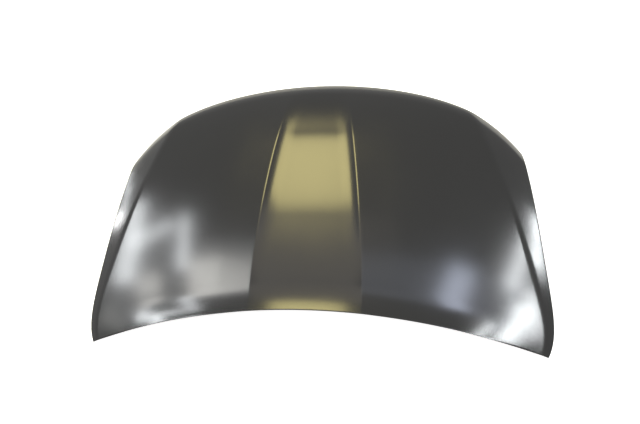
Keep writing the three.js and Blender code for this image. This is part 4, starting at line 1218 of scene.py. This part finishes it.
def remap(tree, value, low, high, span=(0.35, 0.65)):
    """Noise stretched to a range of values."""
    ramp = tree.nodes.new("ShaderNodeMapRange")
    ramp.inputs["From Min"].default_value = span[0]
    ramp.inputs["From Max"].default_value = span[1]
    ramp.inputs["To Min"].default_value = low
    ramp.inputs["To Max"].default_value = high
    tree.links.new(value, ramp.inputs["Value"])
    return ramp.outputs["Result"]


def add_bump(tree, principled, height, strength, depth):
    """Surface relief from a height value."""
    bump = tree.nodes.new("ShaderNodeBump")
    bump.inputs["Strength"].default_value = strength
    bump.inputs["Distance"].default_value = depth
    tree.links.new(height, bump.inputs["Height"])
    tree.links.new(bump.outputs["Normal"], principled.inputs["Normal"])


def tint(tree, principled, value, dark, light):
    """Base colour that drifts between two tones."""
    blend = tree.nodes.new("ShaderNodeMix")
    blend.data_type = "RGBA"
    blend.inputs["A"].default_value = (*dark, 1.0)
    blend.inputs["B"].default_value = (*light, 1.0)
    tree.links.new(value, blend.inputs["Factor"])
    tree.links.new(blend.outputs["Result"], principled.inputs["Base Color"])


def drift_gloss(tree, principled, value, rough, low, high):
    """Roughness that drifts a little either way."""
    tree.links.new(remap(tree, value, low * rough, high * rough), principled.inputs["Roughness"])


def skin_coat():
    """Semi-gloss black electrocoat with its fine pebble."""
    finish = settings("bonnet_finish")
    base = tuple(finish.skin_colour)
    material, tree, principled = shader("bonnet_skin_coat", base, finish.skin_roughness)
    cloud = noise(tree, 7.0)
    pebble = noise(tree, 1400.0, 2.0)
    tint(tree, principled, cloud.outputs["Fac"], tuple(0.92 * c for c in base), tuple(1.08 * c for c in base))
    drift_gloss(tree, principled, cloud.outputs["Fac"], finish.skin_roughness, 0.96, 1.05)
    add_bump(tree, principled, pebble.outputs["Fac"], 0.05, 0.0001)
    return material


def inner_coat():
    """Thinner, duller electrocoat on the hidden side."""
    finish = settings("bonnet_finish")
    base = tuple(finish.inner_colour)
    material, tree, principled = shader("bonnet_inner_coat", base, finish.inner_roughness)
    cloud = noise(tree, 14.0)
    pebble = noise(tree, 900.0, 2.0)
    tint(tree, principled, cloud.outputs["Fac"], tuple(0.8 * c for c in base), tuple(1.25 * c for c in base))
    drift_gloss(tree, principled, cloud.outputs["Fac"], finish.inner_roughness, 0.9, 1.15)
    add_bump(tree, principled, pebble.outputs["Fac"], 0.12, 0.0001)
    return material


def mastic_coat():
    """Dull baked mastic with a lumpy skin."""
    finish = settings("bonnet_finish")
    base = tuple(finish.mastic_colour)
    material, tree, principled = shader("bonnet_mastic", base, 0.8)
    lumps = noise(tree, 260.0)
    tint(tree, principled, lumps.outputs["Fac"], tuple(0.8 * c for c in base), tuple(1.2 * c for c in base))
    add_bump(tree, principled, lumps.outputs["Fac"], 0.35, 0.0004)
    return material


def coat(name):
    """A finish by its name, made once."""
    makers = {"bonnet_skin_coat": skin_coat, "bonnet_inner_coat": inner_coat, "bonnet_mastic": mastic_coat}
    return bpy.data.materials.get(name) or makers[name]()


# Operators


def outer_panel_solid(skin):
    """The outer skin's mesh and the move that brings the plan to the frame."""
    points, faces = outer_panel_mesh(skin)
    return points, faces, origin_shift(points)


def fitting(name, solids, cutters, shift, coat_name, nodes, angle=35.0):
    """One finished piece from solids in the plan, cut, moved to the frame and dressed."""
    points, faces = joined(solids)
    piece = mesh_object(name, points, faces)
    if cutters:
        carve(piece, cutters)
    piece.data.transform(Matrix.Translation(Vector(shift)))
    soften(piece, angle)
    dress(piece, coat(coat_name), nodes)
    return piece


def inner_fitting(name, solids, cutters, shift, nodes, angle=35.0):
    """A fitting in the hidden side's electrocoat."""
    return fitting(name, solids, cutters, shift, "bonnet_inner_coat", nodes, angle)


def through_hole(y, diameter, count, seat):
    """Cutter for a round hole through what lies on a seat."""
    return prism(circle(0.0, y, diameter, count), -HOLE_DEPTH, HOLE_DEPTH, seat)


class BONNET_OT_outer_panel(bpy.types.Operator):
    """Make the hemmed outer skin"""

    bl_idname = "bonnet.outer_panel"
    bl_label = "Outer Panel"

    def execute(self, context):
        points, faces, shift = outer_panel_solid(Skin())
        fitting("outer_skin", [(points, faces.tolist())], [], shift, "bonnet_skin_coat",
                ["outer_panel"], 40.0)
        return {"FINISHED"}


class BONNET_OT_inner_panel(bpy.types.Operator):
    """Make the ribbed inner panel with its openings, lips and holes"""

    bl_idname = "bonnet.inner_panel"
    bl_label = "Inner Panel"

    def execute(self, context):
        skin = Skin()
        shift = outer_panel_solid(skin)[2]
        panel = InnerPanel(skin)
        seats = panel.seats
        points, faces = panel.mesh()
        heights = Tops(points, faces)
        outlines = panel.openings()
        bend = LIP_BEND * panel.sheet.inner
        cutters = [prism(grown(outline, bend)) for outline in outlines]
        cutters += [prism(outline) for outline in panel.small_holes()]
        for side in (-1, 1):
            seat = hinge_seat(skin, side)
            for y in (-seats.bolt_pitch / 2.0, seats.bolt_pitch / 2.0):
                cutters.append(through_hole(y, seats.bolt_hole, 32, seat))
        inner_fitting("inner_sheet", [(points, faces.tolist())], cutters, shift, ["inner_panel"], 50.0)
        lips = [opening_lip(outline, heights) for outline in outlines]
        inner_fitting("opening_lips", lips, [], shift, [], 50.0)
        return {"FINISHED"}


class BONNET_OT_hinge_seats(bpy.types.Operator):
    """Make the hinge plates and their weld nuts"""

    bl_idname = "bonnet.hinge_seats"
    bl_label = "Hinge Plates and Nuts"

    def execute(self, context):
        skin = Skin()
        shift = outer_panel_solid(skin)[2]
        seats = settings("bonnet_seats")
        over = settings("bonnet_sheet").inner + seats.seat_gap
        nut_base = over + HINGE_PLATE[2] + seats.seat_gap
        for side, word in ((-1, "left"), (1, "right")):
            seat = hinge_seat(skin, side)
            points, faces = lipped_plate(*HINGE_PLATE, over)
            holes = []
            for y, end in ((-seats.bolt_pitch / 2.0, "rear"), (seats.bolt_pitch / 2.0, "front")):
                holes.append(through_hole(y, seats.bolt_hole, 32, seat))
                nut_points, nut_faces = weld_nut(y, nut_base)
                nut = (seat.raised(nut_points), nut_faces)
                inner_fitting(f"weld_nut_{word}_{end}", [nut], [], shift, [f"hinge_nut_{word}_{end}"])
            plate = (seat.raised(points), faces)
            inner_fitting(f"hinge_doubler_{word}", [plate], holes, shift, [f"hinge_plate_{word}"])
        return {"FINISHED"}


class BONNET_OT_latch(bpy.types.Operator):
    """Make the latch plate and the welded striker"""

    bl_idname = "bonnet.latch"
    bl_label = "Latch Plate and Striker"

    def execute(self, context):
        skin = Skin()
        shift = outer_panel_solid(skin)[2]
        seats = settings("bonnet_seats")
        seat = latch_seat(skin)
        over = settings("bonnet_sheet").inner + seats.seat_gap
        points, faces = lipped_plate(*LATCH_PLATE, over)
        points = np.column_stack([-points[:, 1], points[:, 0], points[:, 2]])
        inner_fitting("latch_doubler", [(seat.raised(points), faces)], [], shift, ["latch_plate"])
        legs = (-seats.striker_span / 2.0, seats.striker_span / 2.0)
        width, length, thickness, corner = STRIKER_FOOT
        foot = -seats.seat_gap - thickness
        points, faces = slab(round_corners(0.0, 0.0, width, length, corner), foot, -seats.seat_gap)
        hole = seats.striker_wire + STRIKER_HOLE_CLEARANCE
        holes = [through_hole(y, hole, 40, seat) for y in legs]
        inner_fitting("striker_foot", [(seat.raised(points), faces)], holes, shift, ["striker_base"])
        parts = [striker_wire()] + [weld_bead(y, foot - 0.00005, seats.striker_wire / 2.0) for y in legs]
        parts = [(seat.raised(some), faces) for some, faces in parts]
        inner_fitting("striker_wire", parts, [], shift, ["striker_loop"])
        return {"FINISHED"}


class BONNET_OT_pads(bpy.types.Operator):
    """Make the mastic pads and the prop plate"""

    bl_idname = "bonnet.pads"
    bl_label = "Mastic Pads and Prop Plate"

    def execute(self, context):
        skin = Skin()
        points, faces, shift = outer_panel_solid(skin)
        skin_tops = Tops(points, faces)
        panel = InnerPanel(skin)
        inner_tops = Tops(*panel.mesh())
        for word, side in (("left", -1.0), ("right", 1.0)):
            for place, (x, y, turn) in enumerate(pad_places(panel), start=1):
                turn = turn if side > 0.0 else math.pi - turn
                pad = mastic_pad(side * x, y, turn, place + side, inner_tops, skin_tops)
                fitting(f"mastic_{word}_{place}", [pad], [], shift, "bonnet_mastic",
                        [f"mastic_pad_{word}_{place}"], 60.0)
        width, length, thickness, corner = PROP_PLATE
        gap = panel.seats.seat_gap
        plate = between(
            round_corners(*prop_place(skin), width, length, corner),
            lambda px, py: inner_tops.top(px, py) + gap,
            lambda px, py: inner_tops.top(px, py) + gap + thickness,
            [-0.0003, 0.0, 0.0, -0.0003])
        inner_fitting("prop_doubler", [plate], [prism(prop_slot(skin))], shift, ["prop_socket_plate"])
        return {"FINISHED"}


# Half side of the floor, its drop below the bonnet and its share of white
FLOOR_HALF = 9.0
FLOOR_DROP = 0.0005
FLOOR_LIFT = 0.9

# The dim room that lights the bonnet from all round
ROOM_TONE = (1.0, 0.97, 0.90, 1.0)
ROOM_LIGHT = 0.3


class BONNET_OT_studio(bpy.types.Operator):
    """Set the pale floor, the soft boxes and the camera"""

    bl_idname = "bonnet.studio"
    bl_label = "Studio"

    def execute(self, context):
        lay_floor()
        camera = place_camera()
        hang_lights(camera.matrix_world.translation)
        return {"FINISHED"}


def seen_rays(tree):
    """One for the rays that show the backdrop: the camera's, mirrored ones and those through glass."""
    light_path = tree.nodes.new("ShaderNodeLightPath")
    seen = light_path.outputs["Is Camera Ray"]
    for ray in ("Is Glossy Ray", "Is Transmission Ray"):
        either = tree.nodes.new("ShaderNodeMath")
        either.operation = "MAXIMUM"
        tree.links.new(seen, either.inputs[0])
        tree.links.new(light_path.outputs[ray], either.inputs[1])
        seen = either.outputs["Value"]
    return seen


def lay_floor():
    """A wide pale floor that keeps the bonnet's shadow."""
    corners = FLOOR_HALF * np.array([(-1.0, -1.0, 0.0), (1.0, -1.0, 0.0), (1.0, 1.0, 0.0), (-1.0, 1.0, 0.0)])
    floor = mesh_object("studio_floor", corners, [[0, 1, 2, 3]])
    floor.location.z = -FLOOR_DROP
    material, tree, principled = shader("pale_floor", (0.86, 0.86, 0.86), 0.9)
    principled.inputs["Specular IOR Level"].default_value = 0.1
    principled.inputs["Emission Color"].default_value = (1.0, 1.0, 1.0, 1.0)
    lift = tree.nodes.new("ShaderNodeMath")
    lift.operation = "MULTIPLY"
    lift.inputs[1].default_value = FLOOR_LIFT
    tree.links.new(seen_rays(tree), lift.inputs[0])
    tree.links.new(lift.outputs["Value"], principled.inputs["Emission Strength"])
    floor.data.materials.append(material)


# Colours of what the skin mirrors
WARM = (1.00, 0.87, 0.36)
DIM_WARM = (1.00, 0.89, 0.74)
COOL = (0.94, 0.98, 1.00)
PALE = (1.00, 0.99, 0.93)
LAVENDER = (0.75, 0.82, 1.00)
WHITE = (1.00, 1.00, 1.00)

# Soft boxes, each hung where the camera sees it mirrored in the skin. A row gives the name, the
# place and the size of that reflection as shares across and along the bonnet, its turn in
# degrees, how bright it is in the skin and its colour.
SOFT_BOXES = (
    ("warm_panel", (0.00, 0.59), (0.40, 0.31), 0.0, 0.48, WARM),
    ("warm_haze", (0.05, 0.17), (0.55, 0.22), 0.0, 0.04, DIM_WARM),
    ("left_window", (-0.86, 0.42), (0.10, 0.40), -25.0, 0.85, COOL),
    ("left_slot", (-0.57, 0.32), (0.05, 0.24), -8.0, 0.85, COOL),
    ("left_pane", (-0.71, 0.16), (0.11, 0.11), 0.0, 0.44, PALE),
    ("left_screen", (-0.43, 0.13), (0.17, 0.20), 0.0, 0.48, PALE),
    ("left_rear", (-0.62, 0.03), (0.12, 0.02), 0.0, 0.60, COOL),
    ("left_corner", (-0.89, 0.07), (0.10, 0.06), 0.0, 0.13, PALE),
    ("left_wash", (-0.60, 0.16), (0.70, 0.28), 0.0, 0.07, COOL),
    ("left_side", (-0.96, 0.72), (0.03, 0.25), 0.0, 0.50, COOL),
    ("left_glint", (-0.975, 0.61), (0.03, 0.07), 0.0, 2.40, WHITE),
    ("right_lavender", (0.60, 0.11), (0.10, 0.14), -15.0, 0.52, LAVENDER),
    ("right_wash", (0.55, 0.15), (0.65, 0.18), 0.0, 0.045, LAVENDER),
    ("right_window", (0.87, 0.12), (0.07, 0.14), 0.0, 2.00, COOL),
    ("right_rear", (0.82, 0.015), (0.10, 0.020), 0.0, 2.00, COOL),
    ("right_crease", (0.89, 0.36), (0.05, 0.28), 0.0, 1.40, COOL),
    ("right_side", (0.98, 0.52), (0.04, 0.27), 0.0, 1.90, COOL),
    ("right_strip", (0.965, 0.38), (0.03, 0.12), 0.0, 1.20, COOL),
)

# Share of light that the skin mirrors, distance of the soft boxes from the skin, how much further
# each hangs than the one before, and the step in shares that finds how a reflection spreads
SKIN_MIRRORS = 0.043
BOX_REACH = 3.4
BOX_STEP = 0.02
BOX_PROBE = 0.01


class SkinMirror:
    """Where the camera's view of the skin leads once the skin has mirrored it."""

    def __init__(self, camera):
        self.skin = Skin()
        self.shift = outer_panel_solid(self.skin)[2]
        self.camera = np.array(camera)

    def ray(self, s, v):
        """The place on the skin and the way that the mirrored view leaves it."""
        point = self.skin.point(s, v) + self.shift
        view = point - self.camera
        view = view / np.linalg.norm(view)
        normal = self.skin.normal(s, v)
        return point, view - 2.0 * (view @ normal) * normal

    def spot(self, s, v, reach):
        """The point at this distance that is seen mirrored at a place."""
        point, away = self.ray(s, v)
        return point + reach * away

    def spread(self, s, v, reach):
        """How fast the mirrored spot moves with the place, across and along the bonnet."""
        across = self.spot(s + BOX_PROBE, v, reach) - self.spot(s - BOX_PROBE, v, reach)
        along = self.spot(s, v + BOX_PROBE, reach) - self.spot(s, v - BOX_PROBE, reach)
        return across / (2.0 * BOX_PROBE), along / (2.0 * BOX_PROBE)


def hang_soft_box(mirror, row, reach):
    """One rectangular lamp of even radiance that faces the place where it is mirrored."""
    name, (s, v), (width, length), turn, level, tone = row
    away = mirror.ray(s, v)[1]
    across, along = mirror.spread(s, v, reach)
    right = Vector(across - (across @ away) * away).normalized()
    up = Vector(away).cross(right)
    lamp = bpy.data.lights.new(name, "AREA")
    lamp.shape = "RECTANGLE"
    lamp.size = width * np.linalg.norm(across)
    lamp.size_y = length * np.linalg.norm(along)
    lamp.energy = level / SKIN_MIRRORS * math.pi * lamp.size * lamp.size_y
    lamp.color = tone
    box = bpy.data.objects.new(name, lamp)
    box.matrix_world = (
        Matrix.Translation(mirror.spot(s, v, reach))
        @ Matrix((right, up, Vector(away))).transposed().to_4x4()
        @ Matrix.Rotation(math.radians(turn), 4, "Z"))
    bpy.context.scene.collection.objects.link(box)


def hang_lights(camera):
    """Soft boxes round the bonnet, a dim room and a white backdrop."""
    mirror = SkinMirror(camera)
    for place, row in enumerate(SOFT_BOXES):
        hang_soft_box(mirror, row, BOX_REACH + BOX_STEP * place)
    world = bpy.data.worlds.new("dim_room")
    world.use_nodes = True
    tree = world.node_tree
    background = tree.nodes["Background"]
    background.inputs["Color"].default_value = ROOM_TONE
    background.inputs["Strength"].default_value = ROOM_LIGHT
    backdrop = tree.nodes.new("ShaderNodeBackground")
    choice = tree.nodes.new("ShaderNodeMixShader")
    tree.links.new(seen_rays(tree), choice.inputs[0])
    tree.links.new(background.outputs["Background"], choice.inputs[1])
    tree.links.new(backdrop.outputs["Background"], choice.inputs[2])
    tree.links.new(choice.outputs["Shader"], tree.nodes["World Output"].inputs["Surface"])
    backdrop.inputs["Color"].default_value = (1.0, 1.0, 1.0, 1.0)
    bpy.context.scene.world = world


def place_camera():
    """The photographed view: high behind the bonnet and round to its right."""
    view = settings("bonnet_camera")
    azimuth, elevation, roll = (math.radians(angle) for angle in (view.azimuth, view.elevation, view.roll))
    forward = Vector((
        -math.sin(azimuth) * math.cos(elevation),
        math.cos(azimuth) * math.cos(elevation),
        -math.sin(elevation)))
    level = forward.cross(Vector((0.0, 0.0, 1.0))).normalized()
    raised = level.cross(forward)
    right = level * math.cos(roll) - raised * math.sin(roll)
    up = level * math.sin(roll) + raised * math.cos(roll)
    lens = bpy.data.cameras.new("photo_camera")
    lens.lens = view.lens
    lens.sensor_width = 36.0
    camera = bpy.data.objects.new("photo_camera", lens)
    away = view.height / math.sin(elevation)
    camera.matrix_world = Matrix.Translation(Vector(view.target) - forward * away) @ Matrix(
        (right, up, -forward)).transposed().to_4x4()
    bpy.context.scene.collection.objects.link(camera)
    bpy.context.scene.camera = camera
    bpy.context.scene.view_settings.view_transform = "Standard"
    return camera


class BONNET_PT_panel(bpy.types.Panel):
    """Lists the bonnet's pieces and sizes"""

    bl_idname = "BONNET_PT_panel"
    bl_label = "Bonnet"
    bl_space_type = "VIEW_3D"
    bl_region_type = "UI"
    bl_category = "Bonnet"

    def draw(self, context):
        for operator in OPERATORS:
            self.layout.operator(operator.bl_idname)
        for name, group in SETTINGS.items():
            box = self.layout.box()
            box.label(text=group.__doc__)
            for key in group.__annotations__:
                box.prop(getattr(context.scene, name), key)


OPERATORS = (
    BONNET_OT_outer_panel, BONNET_OT_inner_panel, BONNET_OT_hinge_seats, BONNET_OT_latch, BONNET_OT_pads,
    BONNET_OT_studio)
CLASSES = (*SETTINGS.values(), *OPERATORS, BONNET_PT_panel)


def register():
    for item in CLASSES:
        bpy.utils.register_class(item)
    for name, group in SETTINGS.items():
        setattr(bpy.types.Scene, name, bpy.props.PointerProperty(type=group))


def unregister():
    for name in SETTINGS:
        delattr(bpy.types.Scene, name)
    for item in reversed(CLASSES):
        bpy.utils.unregister_class(item)


def main():
    register()
    bpy.ops.bonnet.outer_panel()
    bpy.ops.bonnet.inner_panel()
    bpy.ops.bonnet.hinge_seats()
    bpy.ops.bonnet.latch()
    bpy.ops.bonnet.pads()
    bpy.ops.bonnet.studio()


if __name__ == "__main__":
    main()
